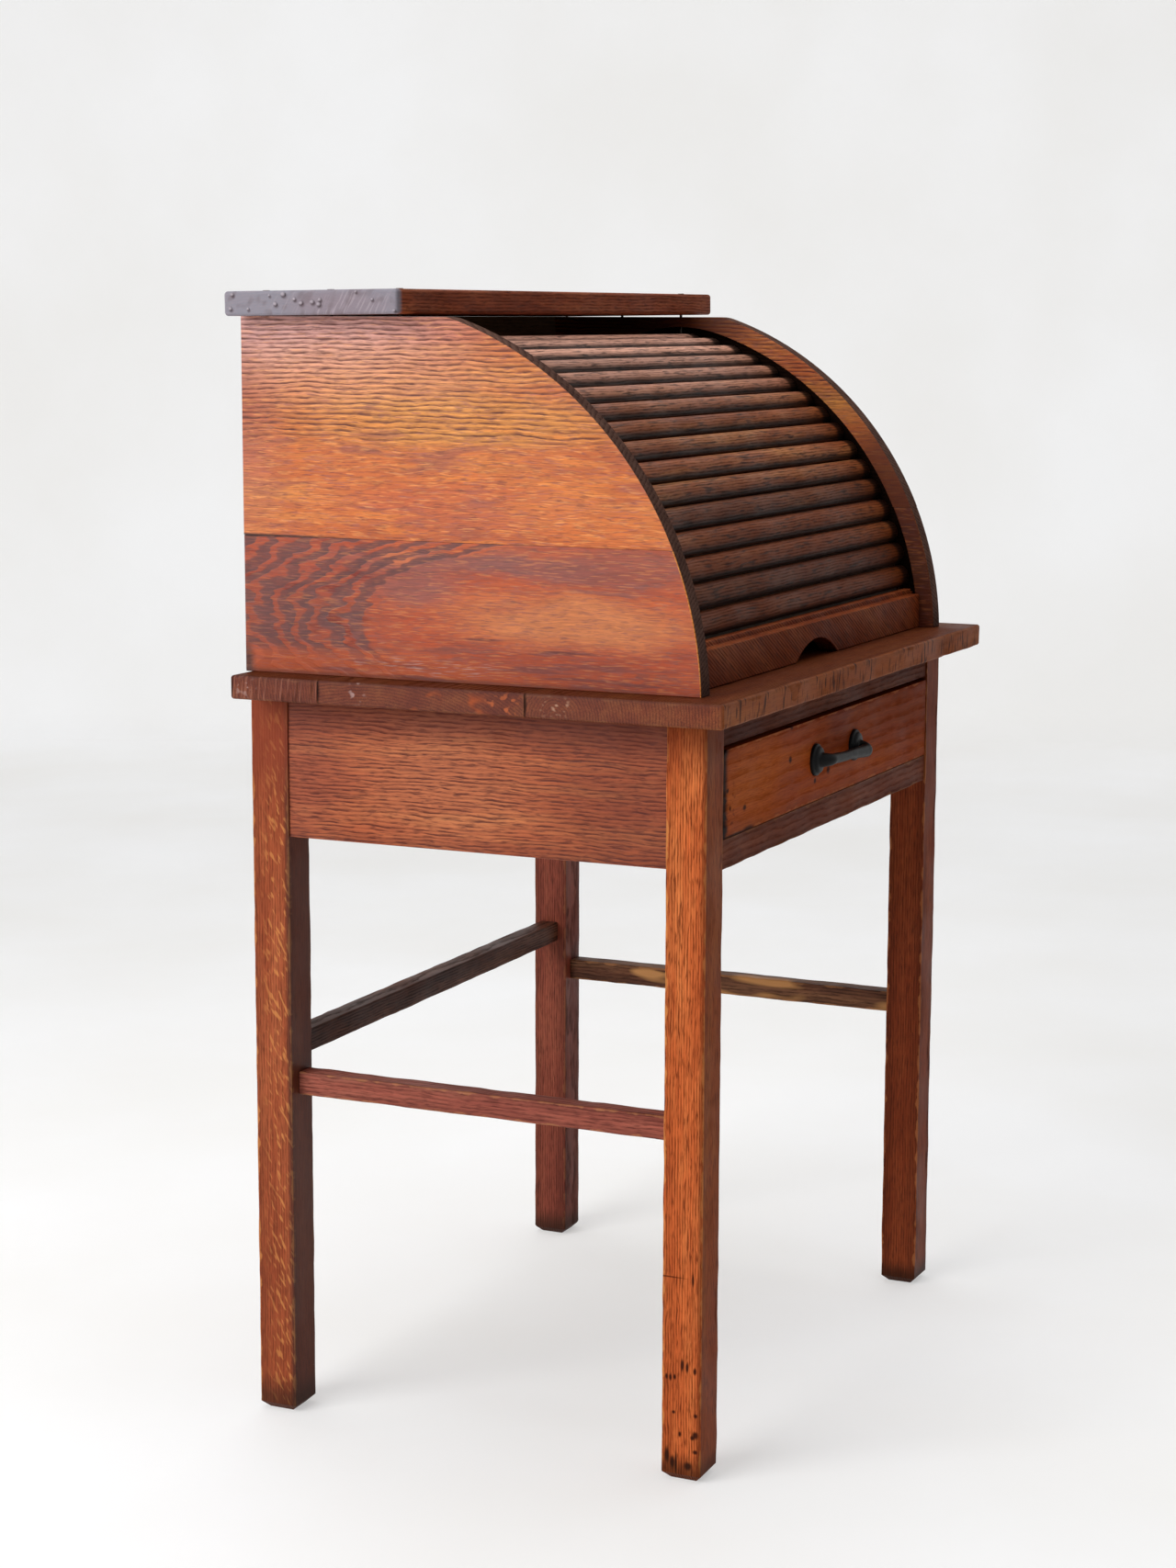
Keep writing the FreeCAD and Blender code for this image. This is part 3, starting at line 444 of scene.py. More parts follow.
def slat_tone_and_shade(tree, place, wood):
    """Give each slat a tone of its own, by its angle round the curve, and darken the joints with dirt and
    painted shade.
    """
    off = node(tree, "VectorMath", {0: place, 1: (0, *ROLL_CENTER)}, operation="SUBTRACT").outputs[0]
    y, z = node(tree, "SeparateXYZ", {0: off}).outputs[1:3]
    front = node(tree, "Math", {0: y, 1: -1.0}, operation="MULTIPLY").outputs[0]
    angle = node(tree, "Math", {0: z, 1: front}, operation="ARCTAN2").outputs[0]
    steps = node(tree, "Math", {0: angle, 1: ROLL / STEP, 2: -FROM / STEP}, operation="MULTIPLY_ADD")
    steps = node(tree, "Math", {0: steps.outputs[0], 1: LATE}, operation="SUBTRACT").outputs[0]
    slat = node(tree, "Math", {0: steps}, operation="FLOOR").outputs[0]
    own = node(tree, "TexWhiteNoise", {"W": slat}, noise_dimensions="1D").outputs["Value"]
    own = node(tree, "MapRange", {"Value": own, "To Min": 0.75, "To Max": 1.35}).outputs[0]
    wood = node(tree, "Mix", {FACTOR: 1.0, FIRST: wood, SECOND: own},
                data_type="RGBA", blend_type="MULTIPLY").outputs[MIXED]
    apart = node(tree, "Math", {0: steps, 1: 1.0}, operation="FLOORED_MODULO").outputs[0]
    apart = node(tree, "Math", {0: apart, 1: MIDDLE}, operation="SUBTRACT").outputs[0]
    apart = node(tree, "Math", {0: apart}, operation="ABSOLUTE").outputs[0]
    # the joints darken with dirt and painted shade, reaching a little further over each slat's lower flank
    dirty = node(tree, "MapRange", {"Value": apart, "From Min": 0.28, "From Max": 0.5, "To Max": 0.92},
                 interpolation_type="SMOOTHSTEP").outputs[0]
    wood = node(tree, "Mix", {FACTOR: dirty, FIRST: wood, SECOND: JOINT_DIRT_AND_SHADE}, data_type="RGBA")
    return wood.outputs[MIXED]


print("slats in a full turn of the roll:", round(2 * math.pi * ROLL / STEP, 1))

# %% Old varnish
SUNK = 0.0006   # how deep the varnish sinks into the grain


def varnish(tree, shader, moved, lines, fibre, rough, level):
    """Worn varnish: dull in patches a hand wide and down in the pores, and sunk a little into the grain."""
    patches = node(tree, "TexNoise", {"Vector": moved, "Scale": 14, "Detail": 5}).outputs["Fac"]
    gloss = node(tree, "MapRange", {"Value": patches, "From Min": 0.3, "From Max": 0.7,
                                    "To Min": rough - 0.1, "To Max": rough + 0.12}).outputs[0]
    gloss = node(tree, "Math", {0: lines, 1: 0.25, 2: gloss}, operation="MULTIPLY_ADD").outputs[0]
    tree.links.new(gloss, shader.inputs["Roughness"])
    height = node(tree, "Math", {0: lines, 1: -0.6, 2: patches}, operation="MULTIPLY_ADD").outputs[0]
    height = node(tree, "Math", {0: fibre, 1: 0.35, 2: height}, operation="MULTIPLY_ADD").outputs[0]
    bump = node(tree, "Bump", {"Height": height, "Strength": 0.4, "Distance": SUNK}).outputs[0]
    tree.links.new(bump, shader.inputs["Normal"])
    shader.inputs["Specular IOR Level"].default_value = level


print("varnish sinks", SUNK * 1000, "mm into the grain")

# %% Dashes, pores and fibre
# repeats a metre along and across the grain: dashes are 18 mm long, pores 12 mm and fibres 45 mm
DASHES, PORES, FIBRES = (55, 260), (80, 850), (22, 900)


def dashed(tree, wavy, lines, whole):
    """Break the rings' lines into dashes."""
    dashes = drawn_out(tree, wavy, *DASHES, 2)["Fac"]
    dashes = node(tree, "MapRange", {"Value": dashes, "From Min": 0.36, "From Max": 0.6, "To Min": whole})
    return node(tree, "Math", {0: lines, 1: dashes.outputs[0]}, operation="MULTIPLY").outputs[0]


def darken(tree, wavy, wood, lines, line, figure, pores, coarse):
    """Darken wood along its fibre, at its rings and in its pores: (wood, fibre). Pores and fibre are about
    a millimetre wide, so they are drawn coarser where they would be too fine to show."""
    fibre = drawn_out(tree, wavy, FIBRES[0], FIBRES[1] / coarse, 2)["Fac"]
    streaks = node(tree, "MapRange", {"Value": fibre, "From Min": 0.3, "From Max": 0.7,
                                      "To Min": 1.15, "To Max": 0.8}).outputs[0]
    wood = node(tree, "Mix", {FACTOR: 1.0, FIRST: wood, SECOND: streaks},
                data_type="RGBA", blend_type="MULTIPLY").outputs[MIXED]
    drawn = node(tree, "Math", {0: lines, 1: figure}, operation="MULTIPLY").outputs[0]
    wood = node(tree, "Mix", {FACTOR: drawn, FIRST: wood, SECOND: line}, data_type="RGBA").outputs[MIXED]
    holes = drawn_out(tree, wavy, PORES[0] / coarse, PORES[1] / coarse, 2)["Fac"]
    holes = node(tree, "MapRange", {"Value": holes, "From Min": 0.52, "From Max": 0.68, "To Max": pores})
    wood = node(tree, "Mix", {FACTOR: holes.outputs[0], FIRST: wood, SECOND: line}, data_type="RGBA")
    return wood.outputs[MIXED], fibre


print("pores are", 1000 / PORES[0], "mm long and fibres", round(1000 / FIBRES[1], 1), "mm apart")

# %% Oak's pattern
TURNS = {"X": (0, 0, 0), "Y": (0, 0, math.pi / 2), "Z": (0, math.pi / 2, 0)}
WAVES, BROAD = (11, 32), (3.2, 30)   # repeats a metre: slow waves 90 mm long, and broad tones 300 mm long
ALONG, MOST_BEND = 0.02, 0.008       # how far waves push the pattern along the grain, and bend pores at most


# log is a point on the log's heart, and lean and slant tip the log, in degrees. heart is the radius of the
# plain heart. band, hold and whole say how much of a ring is dark, how even that is, and how unbroken.
# waver bends the grain, figure and pores darken its lines and holes, and coarse draws them larger.
def oak(name, grain, dark, mid, light, line, seed, log, ring_mm=4.0, lean=0.0, slant=0.0, heart=0.0,
        band=0.55, hold=(0.45, 0.65), whole=0.2, waver=0.006, figure=0.7, coarse=1.0, pores=0.5, rough=0.45,
        level=0.1, box=None, joints=False, worn="#C98A58", wear=0.0, grime=0.35, stains_and_shading=(), marks=()):
    """Oak under worn varnish, with its grain along one axis and its rings round a log's heart near the board.
    Stains, with some painted light and shade among them, follow the grain's waves, and marks, among them
    painted shade and highlights, lie on top of everything."""
    made, tree, shader = new_material(name)
    rolled = random.Random(seed)
    place = node(tree, "TexCoord").outputs["Object"]
    turn = Vector(TURNS[grain]) + Vector((0, math.radians(slant), 0))
    turned = node(tree, "Mapping", {"Vector": place, "Rotation": turn}, vector_type="TEXTURE").outputs[0]
    shift = [rolled.uniform(-9, 9) for axis in range(3)]
    moved = node(tree, "Mapping", {"Vector": turned, "Location": shift}).outputs[0]
    # slow waves of the fibre, which push stains, pores and rings about
    waves = drawn_out(tree, moved, *WAVES, 3, Roughness=0.6)["Color"]
    waves = node(tree, "VectorMath", {0: waves, 1: (0.5, 0.5, 0.5)}, operation="SUBTRACT").outputs[0]
    drift = {"X": (ALONG, 0, waver), "Y": (0, ALONG, waver), "Z": (0, waver, ALONG)}[grain]
    drift = node(tree, "VectorMath", {0: waves, 1: drift}, operation="MULTIPLY").outputs[0]
    bend = min(waver, MOST_BEND)
    wavy = node(tree, "VectorMath", {0: waves, 1: (ALONG, bend, bend)}, operation="MULTIPLY").outputs[0]
    wavy = node(tree, "VectorMath", {0: moved, 1: wavy}).outputs[0]
    waves = node(tree, "VectorMath", {0: waves, 1: (ALONG, waver, waver)}, operation="MULTIPLY").outputs[0]
    # growth rings round the log's heart
    tilt = turn + Vector((0, 0, math.radians(lean)))
    trunk = node(tree, "Mapping", {"Vector": place, "Location": log, "Rotation": tilt}, vector_type="TEXTURE")
    trunk = node(tree, "VectorMath", {0: trunk.outputs[0], 1: waves}).outputs[0]
    lines = dashed(tree, wavy, growth_rings(tree, trunk, ring_mm, heart, band, hold), whole)
    # broad tone, the stains in it and the lines on it
    broad = drawn_out(tree, wavy, *BROAD, 6, Roughness=0.7)["Fac"]
    wood = node(tree, "ValToRGB", {"Fac": broad}, [(0.3, dark), (0.7, light), (0.49, mid)]).outputs[0]
    wood = cover(tree, node(tree, "VectorMath", {0: place, 1: drift}).outputs[0], wood, stains_and_shading)
    wood, fibre = darken(tree, wavy, wood, lines, line, figure, pores, coarse)
    if joints:
        wood = slat_tone_and_shade(tree, place, wood)
    if box:
        wood = used_edges(tree, place, moved, wood, box, line, grime, worn, wear)
    wood = cover(tree, place, wood, marks)
    tree.links.new(wood, shader.inputs["Base Color"])
    varnish(tree, shader, moved, lines, fibre, rough, level)
    return made


print("oak can run along", sorted(TURNS))

# %% [markdown]
# ## The case's sides
# Each side is two boards. On the upper one, sawn beside the heart, fine lines close up towards the top.
# The lower one was sawn through leaning rings, so they nest in arcs that point to the back, round
# a plain salmon heart. Both have streaks and flakes of other tones, which a noise alone would not put
# where they are, so they are laid on one by one, with a painted glare of the window at the upper
# board's top and painted shade on the right side's inner face. The curved edge is dark with handling,
# its left arris is worn pale and lit with a painted highlight, and the slats' groove is painted dark as
# the shadow inside it, so their faces get finishes of their own.

# %% Colours and stains of the sides
GOLD = ("#AA4E1E", "#BC6028", "#D0823C", "#4C2420")     # dark, middle and light wood, and pores
RUSSET = ("#8E3414", "#A4421C", "#BC5C2C", "#583A39")
MAUVE_FLAKES, PALE_FLAKES = (1, 70, 800), (1, 60, 650)  # fine flakes, by their repeats a metre
SEAM = (0.256, 0.882, (1, 0.15, 0.0022), "#2A120C", 0.9)
# each row: how far back, how high, reach, colour, amount and any flakes
# the first row is a painted glare: the window's greyish-pink reflection on the upper board's top
UPPER_STAINS_AND_GLARE = [(0.25, 1.08, (0.02, 0.30, 0.07), "#CC9C96", 0.85),
                (0.14, 1.035, (1, 0.2, 0.05), "#E49E70", 0.5),
                (0.03, 0.90, (1, 0.13, 0.035), "#A04A2C", 0.5),
                (0.28, 0.97, (0.02, 0.09, 0.16), "#A05A48", 0.6),
                (0.02, 0.915, (1, 0.20, 0.03), "#BA5830", 0.6),
                (0.02, 0.995, (1, 0.24, 0.035), "#D8923E", 0.6),
                (0.06, 0.95, (1, 0.35, 0.10), "#8E4A3A", 0.6, (1, 16, 110)),
                (0.0, 0.93, (1, 0.35, 0.10), "#DC7C2C", 0.6, (1, 13, 90)),
                (-0.12, 0.90, (1, 0.08, 0.03), "#C46020", 0.6),
                (0.0, 0.98, (1, 0.6, 0.3), "#96564C", 0.55, MAUVE_FLAKES),
                (0.0, 0.98, (1, 0.6, 0.3), "#F0A25A", 0.32, PALE_FLAKES)]
LOWER_STAINS = [(-0.09, 0.812, (1, 0.17, 0.036), "#C87A46", 0.75),
                (0.24, 0.82, (1, 0.2, 0.09), "#92402A", 0.7),
                (0.18, 0.83, (1, 0.17, 0.08), "#701C08", 0.9, (1, 26, 105)),
                (0.01, 0.862, (1, 0.22, 0.018), "#7C4A44", 0.7),
                (0.07, 0.838, (1, 0.07, 0.022), "#80504A", 0.6),
                (0.085, 0.868, (1, 0.03, 0.012), "#D0703A", 0.6),
                (-0.15, 0.865, (1, 0.14, 0.026), "#7C4038", 0.55),
                (0.24, 0.81, (1, 0.16, 0.04), "#74301E", 0.5),
                (-0.06, 0.85, (1, 0.25, 0.035), "#7C4A44", 0.6, (1, 12, 170)),
                (0.0, 0.772, (1, 0.4, 0.024), "#7A3C30", 0.65, (1, 12, 200))]
LOWER_MARKS = [(0.2, 0.755, (1, 0.4, 0.028), "#A84A24", 0.85),
               (0.0, 0.764, (1, 0.5, 0.026), "#6A3430", 0.7, (1, 12, 180)),
               (0.0, 0.7925, (1, 0.03, 0.0016), "#5A2A24", 0.8),
               (-0.085, 0.784, (1, 0.045, 0.002), "#5A2A24", 0.8),
               (0.06, 0.764, (1, 0.12, 0.012), "#C4B0A8", 0.4, (20, 50, 800)), SEAM,
               (0.256, 0.757, (1, 0.014, 0.032), "#2E201E", 0.85),
               (0.0, 0.81, (1, 0.6, 0.2), "#8A5048", 0.4, MAUVE_FLAKES),
               (-0.05, 0.81, (1, 0.45, 0.2), "#D88448", 0.28, PALE_FLAKES),
               (0.1, 0.75, (1, 0.5, 0.006), "#3A1A14", 0.6)]
# the right side's inner face: dark at the top and low down, where the roll keeps off the light
INSIDE = [((0.328, 0.0, 0.80), (0.012, 0.6, 0.17), "#42200F", 0.85),
          ((0.328, -0.2, 0.92), (0.012, 0.14, 0.09), "#602A16", 0.8),
          ((0.328, 0.1, 1.09), (0.012, 0.16, 0.05), "#4A2212", 0.85)]


def on_face(face, rows):
    """Spots on a side's face, from rows that start with how far back and how high."""
    return [((face, back, up), *spot) for back, up, *spot in rows]


print("stains and marks on a side:", len(UPPER_STAINS_AND_GLARE) + len(LOWER_STAINS) + len(LOWER_MARKS))


# %% Side boards
def finish_with(material, *names):
    """Give boards or CAD pieces a material."""
    for name in names:
        piece = boards.get(name, nodes[name])
        piece.data.materials.clear()
        piece.data.materials.append(material)


RING_LEAN = 23.2   # degrees
for side, face in (("left", -0.35), ("right", 0.35)):
    finish_with(oak(side + "_upper_oak", "Y", *GOLD, 3, (face * 0.7, 0, 0.85), lean=0.3, ring_mm=4.1,
                    heart=0.163, whole=0.35, figure=1.0, waver=0.010, level=0.3, rough=0.42,
                    stains_and_shading=on_face(face, UPPER_STAINS_AND_GLARE) + INSIDE, marks=on_face(face, [SEAM])),
                side + "_side_upper_board")
    finish_with(oak(side + "_lower_oak", "Y", *RUSSET, 4, (face, -0.10, 0.80), ring_mm=9.8,
                    lean=RING_LEAN * (1 if face < 0 else -1), heart=0.086, band=0.6, hold=(0.8, 0.85),
                    whole=0.75, figure=0.95, waver=0.04, level=0.3, rough=0.42,
                    stains_and_shading=on_face(face, LOWER_STAINS) + INSIDE, marks=on_face(face, LOWER_MARKS)),
                side + "_side_lower_board")
print("side finishes:", [m.name for m in bpy.data.materials if m.name.endswith(("_upper_oak", "_lower_oak"))])

# %% Edges and grooves of the sides
RIM, RIM_DEPTH = 0.3674, 0.0012   # the sides' curved edge, from the roll's centre, and how deep its faces go
GROOVE = (0.3285, 0.3385)         # the slats' groove lies this far out from the desk's middle
FLAT_ON, EDGE_ON = 0.95, 0.3      # how much a board's face and its edge point sideways
EDGE, ARRIS, GROOVE_SHADOW = 1, 2, 3      # the boards' further materials

dark_edge = oak("handled_edge_oak", "Y", "#46302A", "#5A4036", "#6E5044", "#2A1A16", 1, (0, 0, 0),
                level=0.02, rough=0.7)
# painted shadow: the groove's faces near black, as the shade inside it
shadowed_groove = oak("groove_shadow_oak", "Y", "#160C08", "#20120C", "#2A1A12", "#0A0504", 24, (0, 0, 0),
                   level=0.02, rough=0.8)
# the left arris is worn pale, and brighter still as a painted highlight where it faces the window
bare_lit_edge = oak("bared_lit_edge_oak", "Y", "#C06A2C", "#D8823C", "#E8A05A", "#8A4420", 2, (0, 0, 0))
dull_edge = oak("dulled_edge_oak", "Y", "#5E301E", "#744028", "#8A5234", "#3A1C12", 25, (0, 0, 0), level=0.05)
for side, arris in (("left", bare_lit_edge), ("right", dull_edge)):
    for name in (side + "_side_upper_board", side + "_side_lower_board"):
        mesh = boards[name].data
        for material in (dark_edge, arris, shadowed_groove):
            mesh.materials.append(material)
        for facet in mesh.polygons:
            reach = math.hypot(facet.center.y - ROLL_CENTER[0], facet.center.z - ROLL_CENTER[1])
            if reach > RIM - RIM_DEPTH and abs(facet.normal.x) < FLAT_ON:
                facet.material_index = EDGE if abs(facet.normal.x) < EDGE_ON else ARRIS
            elif GROOVE[0] < abs(facet.center.x) < GROOVE[1]:
                facet.material_index = GROOVE_SHADOW
        used = [facet.material_index for facet in mesh.polygons]
        print(name, "edge, arris and groove faces:", [used.count(number) for number in (EDGE, ARRIS, GROOVE_SHADOW)])

# %% [markdown]
# ## The top
# The top board runs across the desk, so its end grain shows on the left, where it is grey, partly
# weathered and partly a painted reflection of the window, and carries beads of old finish. A bump in
# the material would leave the beads flat in outline, so one bead is shaped from a ball, copied, and
# joined to the board. Each bead gets a painted shadow below and a painted highlight on its crown.

# %% Beads of old finish
# how far back, how high and how large
BEADS = [(0.191, 1.1095, 0.0030), (0.1995, 1.1005, 0.0026), (0.179, 1.1050, 0.0022), (0.172, 1.1015, 0.0027),
         (0.160, 1.1025, 0.0027), (0.153, 1.1005, 0.0029), (0.152, 1.1045, 0.0023), (0.097, 1.1050, 0.0018),
         (0.246, 1.1090, 0.0022), (0.248, 1.0960, 0.0022), (0.229, 1.0958, 0.0018), (0.074, 1.0950, 0.0018),
         (0.114, 1.1120, 0.0016), (0.206, 1.1085, 0.0016)]
BEAD_TURN = 0.9   # radians from each bead to the next, so that no two lie alike

top = boards["top_board"]
end_face = box_of("top_board")[0].x
deselect()
bpy.ops.mesh.primitive_uv_sphere_add(segments=14, ring_count=8, radius=1)
bead = bpy.context.object
bpy.ops.object.mode_set(mode="EDIT")
bpy.ops.transform.resize(value=(0.45, 1.0, 0.85))
bpy.ops.object.mode_set(mode="OBJECT")
bpy.ops.object.shade_smooth()
for number, (back, up, size) in enumerate(BEADS):
    drop = bpy.data.objects.new("bead", bead.data.copy())
    turned = Matrix.Rotation(number * BEAD_TURN, 4, "X") @ Matrix.Scale(size, 4)
    drop.data.transform(Matrix.Translation((end_face, back, up)) @ turned)
    bpy.context.collection.objects.link(drop)
    drop.select_set(True)
bead.select_set(False)
top.select_set(True)
bpy.context.view_layer.objects.active = top
bpy.ops.object.join()
bpy.data.objects.remove(bead)
print("top board:", len(BEADS), "beads,", len(top.data.polygons), "faces")

# %% Top board's finish
GREY_END = -0.3815   # where the greyed end lies
# the end's grey: weathered end grain, and partly a painted reflection of the window
greyed_and_glare = [((GREY_END, 0.16, 1.10), (0.012, 0.4, 0.2), "#868690", 0.88),
          ((GREY_END, 0.13, 1.10), (0.012, 0.08, 0.02), "#86747A", 0.5),
          ((GREY_END, 0.16, 1.10), (0.012, 0.4, 0.2), "#5E4A4C", 0.3, (10, 90, 60), (0.7, 0, 0)),
          ((GREY_END, 0.13, 1.10), (0.012, 0.1, 0.02), "#B4A8AC", 0.3, (10, 500, 40), (0.5, 0, 0))]
# each bead gets a painted shadow round its lower side, and a painted highlight on its crown
outside = end_face - 0.001
dirt_and_shade = [((outside, back - 0.001, up - 0.0014), (0.006, size * 1.5, size * 1.3), "#453437", 0.6)
        for back, up, size in BEADS]
bead_highlights = [((outside, back, up + 0.0004), (0.006, size, size * 0.8), "#A89EA4", 0.7)
          for back, up, size in BEADS]
finish_with(oak("top_oak", "X", "#6C2E19", "#904628", "#A8623C", "#30160D", 5, (0, 0.2, 0.8), ring_mm=3.0,
                level=0.03, box=box_of("top_board"), grime=0.2, marks=greyed_and_glare + dirt_and_shade + bead_highlights), "top_board")
print("marks on the top:", len(greyed_and_glare + dirt_and_shade + bead_highlights))

# %% [markdown]
# ## The desktop
# Three dark boards run across the desk. Their left ends show lines straight up and down, and arcs where
# the log's heart is near, with pale patches where the finish has flaked off. The front edge is hatched
# by the saw. One finish could cover all three, but then the rings would run on across the joints, so
# each board has its own log.

# %% Desktop
BROWN = ("#6A2E16", "#8A4522", "#A86232", "#2C140C")
END_UP = 0.74   # about half way up the boards' ends and front edge
DESKTOP = {"desktop_front_board": (0, -0.0924, 0.729), "desktop_middle_board": (0, 0.1, 0.5),
           "desktop_back_board": (0, 0.5, 0.7)}   # each board and a point on its log's heart
# pale patches on the desktop's left end: how far back, how high, reach each way and colour
PATCHES = [(0.2363, 0.740, 0.016, 0.014, "#A08078"), (0.114, 0.741, 0.012, 0.016, "#A88A84"),
           (-0.0924, 0.738, 0.024, 0.014, "#B08A72"), (-0.04, 0.737, 0.03, 0.016, "#B5603A")]
for number, (name, log) in enumerate(DESKTOP.items()):
    low, high = box_of(name)
    whole_end = ((low.x, 0.1, END_UP), (0.004, 0.6, 0.1))
    whole_front = ((0, low.y, END_UP), (0.9, 0.004, 0.04))
    marks = [((0, 0, high.z), (2, 2, 0.003), "#3C180A", 0.7)]
    if name == "desktop_front_board":
        marks += [(*whole_front, "#98522A", 0.5),
                  (*whole_front, "#1E0D07", 0.85, (250, 40, 45), (0, 0.12, 0))]
    marks += [((low.x, 0.1, END_UP), (0.003, 0.6, 0.1), "#5C3A38", 0.55)]
    if name == "desktop_back_board":
        marks += [(*whole_end, "#A8705C", 0.3, (10, 330, 18), (0.1, 0, 0)),
                  (*whole_end, "#34190F", 0.45, (20, 260, 25), (0.1, 0, 0))]
    marks += [((low.x, back, up), (0.004, wide, tall), tint, 0.7, (10, 130, 190))
              for back, up, wide, tall, tint in PATCHES]
    marks += [((low.x, 0.02, 0.735), (0.004, 0.06, 0.02), "#B5562C", 0.6, (40, 45, 70)),
              ((low.x, high.y, END_UP), (0.004, 0.004, 0.02), "#1A0C08", 0.9)]
    finish_with(oak(name + "_oak", "X", *BROWN, 60 + number, log, ring_mm=3.0, whole=0.4, level=0.03,
                    box=(low, high), grime=0.3, wear=0.2, marks=marks), name)
    print(name, "has", len(marks), "marks")

# %% [markdown]
# ## Legs
# The legs are square posts, sawn so that the lines run straight down. The back left one was sawn along
# its rays, which show as slanting pale flecks. Knocks have bared the edges, the feet are dirty from the
# floor, and the front left foot has dark nail marks. Those could be holes in the mesh, but they are
# stains more than holes, so they are drawn.

# %% Legs
FOOT_DIRT = "#2E1A10"
UNDER = 0.727   # the desktop's underside, which shades the tops of the legs
# dark marks near the front left foot: how far back, how high, and their reach each way
NAILS = [(-0.2035, 0.115, 0.0026, 0.009), (-0.2085, 0.113, 0.0022, 0.0075), (-0.2164, 0.1105, 0.0026, 0.005),
         (-0.1875, 0.102, 0.002, 0.0042), (-0.1915, 0.1015, 0.0022, 0.005), (-0.1958, 0.1025, 0.002, 0.004),
         (-0.195, 0.0676, 0.0025, 0.0025), (-0.2174, 0.0667, 0.003, 0.003), (-0.2014, 0.0465, 0.0022, 0.004),
         (-0.2174, 0.0476, 0.005, 0.0055), (-0.2142, 0.0446, 0.003, 0.0034), (-0.2174, 0.031, 0.004, 0.003),
         (-0.2136, 0.199, 0.0017, 0.009), (-0.1885, 0.024, 0.004, 0.012), (-0.194, 0.018, 0.004, 0.009),
         (-0.210, 0.016, 0.006, 0.006), (-0.1977, 0.0176, 0.0018, 0.016)]

low, high = box_of("leg_front_left")
nails = [((low.x, back, up), (0.01, wide, tall), "#2A130C", 0.95) for back, up, wide, tall in NAILS]
stained_and_shaded = [((low.x, -0.19, 0.0), (0.2, 0.2, 0.03), FOOT_DIRT, 0.75),
           # painted shade: the top darker under the desktop's overhang, and the whole front face darker
           ((low.x, -0.19, UNDER), (0.3, 0.3, 0.06), "#6A2E18", 0.6),
           ((-0.32, low.y, 0.35), (1, 0.006, 2), "#532612", 0.6),
           ((low.x, -0.185, 0.20), (0.01, 0.03, 0.0012), "#4A2010", 0.8),
           ((low.x, -0.19, 0.66), (0.01, 0.03, 0.05), "#7A3A1C", 0.5, (40, 120, 30))]
finish_with(oak("front_left_leg_oak", "Z", "#B45228", "#C46232", "#D47C44", "#5E2612", 7, (-0.33, -0.9, 0),
                ring_mm=2.7, waver=0.004, figure=0.9, pores=0.8, coarse=1.1, level=0.03, wear=0.5,
                box=(low, high), worn="#DC9250", grime=0.25, marks=nails + stained_and_shaded), "leg_front_left")

low, high = box_of("leg_back_left")
back = high.y - 0.02
flecks = ((low.x, back - 0.012, 0.35), (0.006, 0.03, 0.9), "#D28C4C", 0.5, (30, 300, 80), (-0.45, 0, 0))
finish_with(oak("back_left_leg_oak", "Z", "#7E381F", "#944728", "#A85A36", "#4A2012", 17, (-0.33, 0.95, 0),
                ring_mm=3.0, waver=0.004, figure=0.6, wear=0.5, box=(low, high), worn="#D08A4C", grime=0.3,
                # painted shade on the front face, and along the top under the desktop's overhang
                marks=[flecks, ((low.x, low.y, 0.3), (1, 0.006, 2), "#33201C", 0.7),
                       ((low.x, back, 0.0), (0.2, 0.2, 0.04), FOOT_DIRT, 0.7),
                       ((low.x, back, UNDER), (0.3, 0.3, 0.14), "#7A3420", 0.7)]), "leg_back_left")
finish_with(oak("back_right_leg_oak", "Z", "#662E22", "#803E2E", "#94503A", "#331710", 18, (0.3, 0.9, 0),
                ring_mm=3.0, waver=0.004, wear=0.3, box=box_of("leg_back_right"), worn="#9A6240",
                marks=[((0.3, 0.2, 0.0), (0.3, 0.3, 0.034), FOOT_DIRT, 0.8)]), "leg_back_right")
finish_with(oak("front_right_leg_oak", "Z", "#642A16", "#7A361C", "#8E4626", "#381A10", 19, (0.3, -0.9, 0),
                ring_mm=3.0, waver=0.004, level=0.04, wear=0.5, box=box_of("leg_front_right"), worn="#B06C40",
                marks=[((0.3, -0.2, 0.0), (0.3, 0.3, 0.03), FOOT_DIRT, 0.8)]), "leg_front_right")
print("front left leg:", len(nails), "nail marks")

# %% [markdown]
# ## Aprons and stretchers
# The aprons show fine dark rings. The lamps alone would leave their top edge, under the desktop's
# overhang, too bright, so a painted shade is laid along it. The stretchers look cut from scraps,
# so each has an oak of its own: the right one has a pale streak of sapwood, and the back one is nearly
# black.

# %% Aprons and stretchers
UMBER = ("#2C1710", "#48271A", "#6C4430", "#140906")
for name in ("side_apron_left", "side_apron_right"):
    low, high = box_of(name)
    finish_with(oak(name + "_oak", "Y", "#964528", "#A85632", "#BC7244", "#451A16", 8, (-0.28, 0, 0.3),
                    ring_mm=3.9, waver=0.012, figure=1.0, pores=0.65, level=0.2, box=(low, high), grime=0.3,
                    stains_and_shading=[((0, -0.16, 0.65), (1, 0.16, 0.2), "#74341F", 0.6),
                            ((0, 0.05, 0.66), (1, 0.14, 0.1), "#C07850", 0.35),
                            ((0, 0.22, 0.66), (1, 0.1, 0.12), "#7E3F30", 0.5)],
                    # painted shade along the top, under the desktop's overhang
                    marks=[((low.x, 0, UNDER), (1, 2, 0.05), "#5A2618", 0.55)]), name)
finish_with(oak("back_apron_oak", "X", *RUSSET, 9, (0, 0.3, 0.3), ring_mm=4.4), "back_apron")
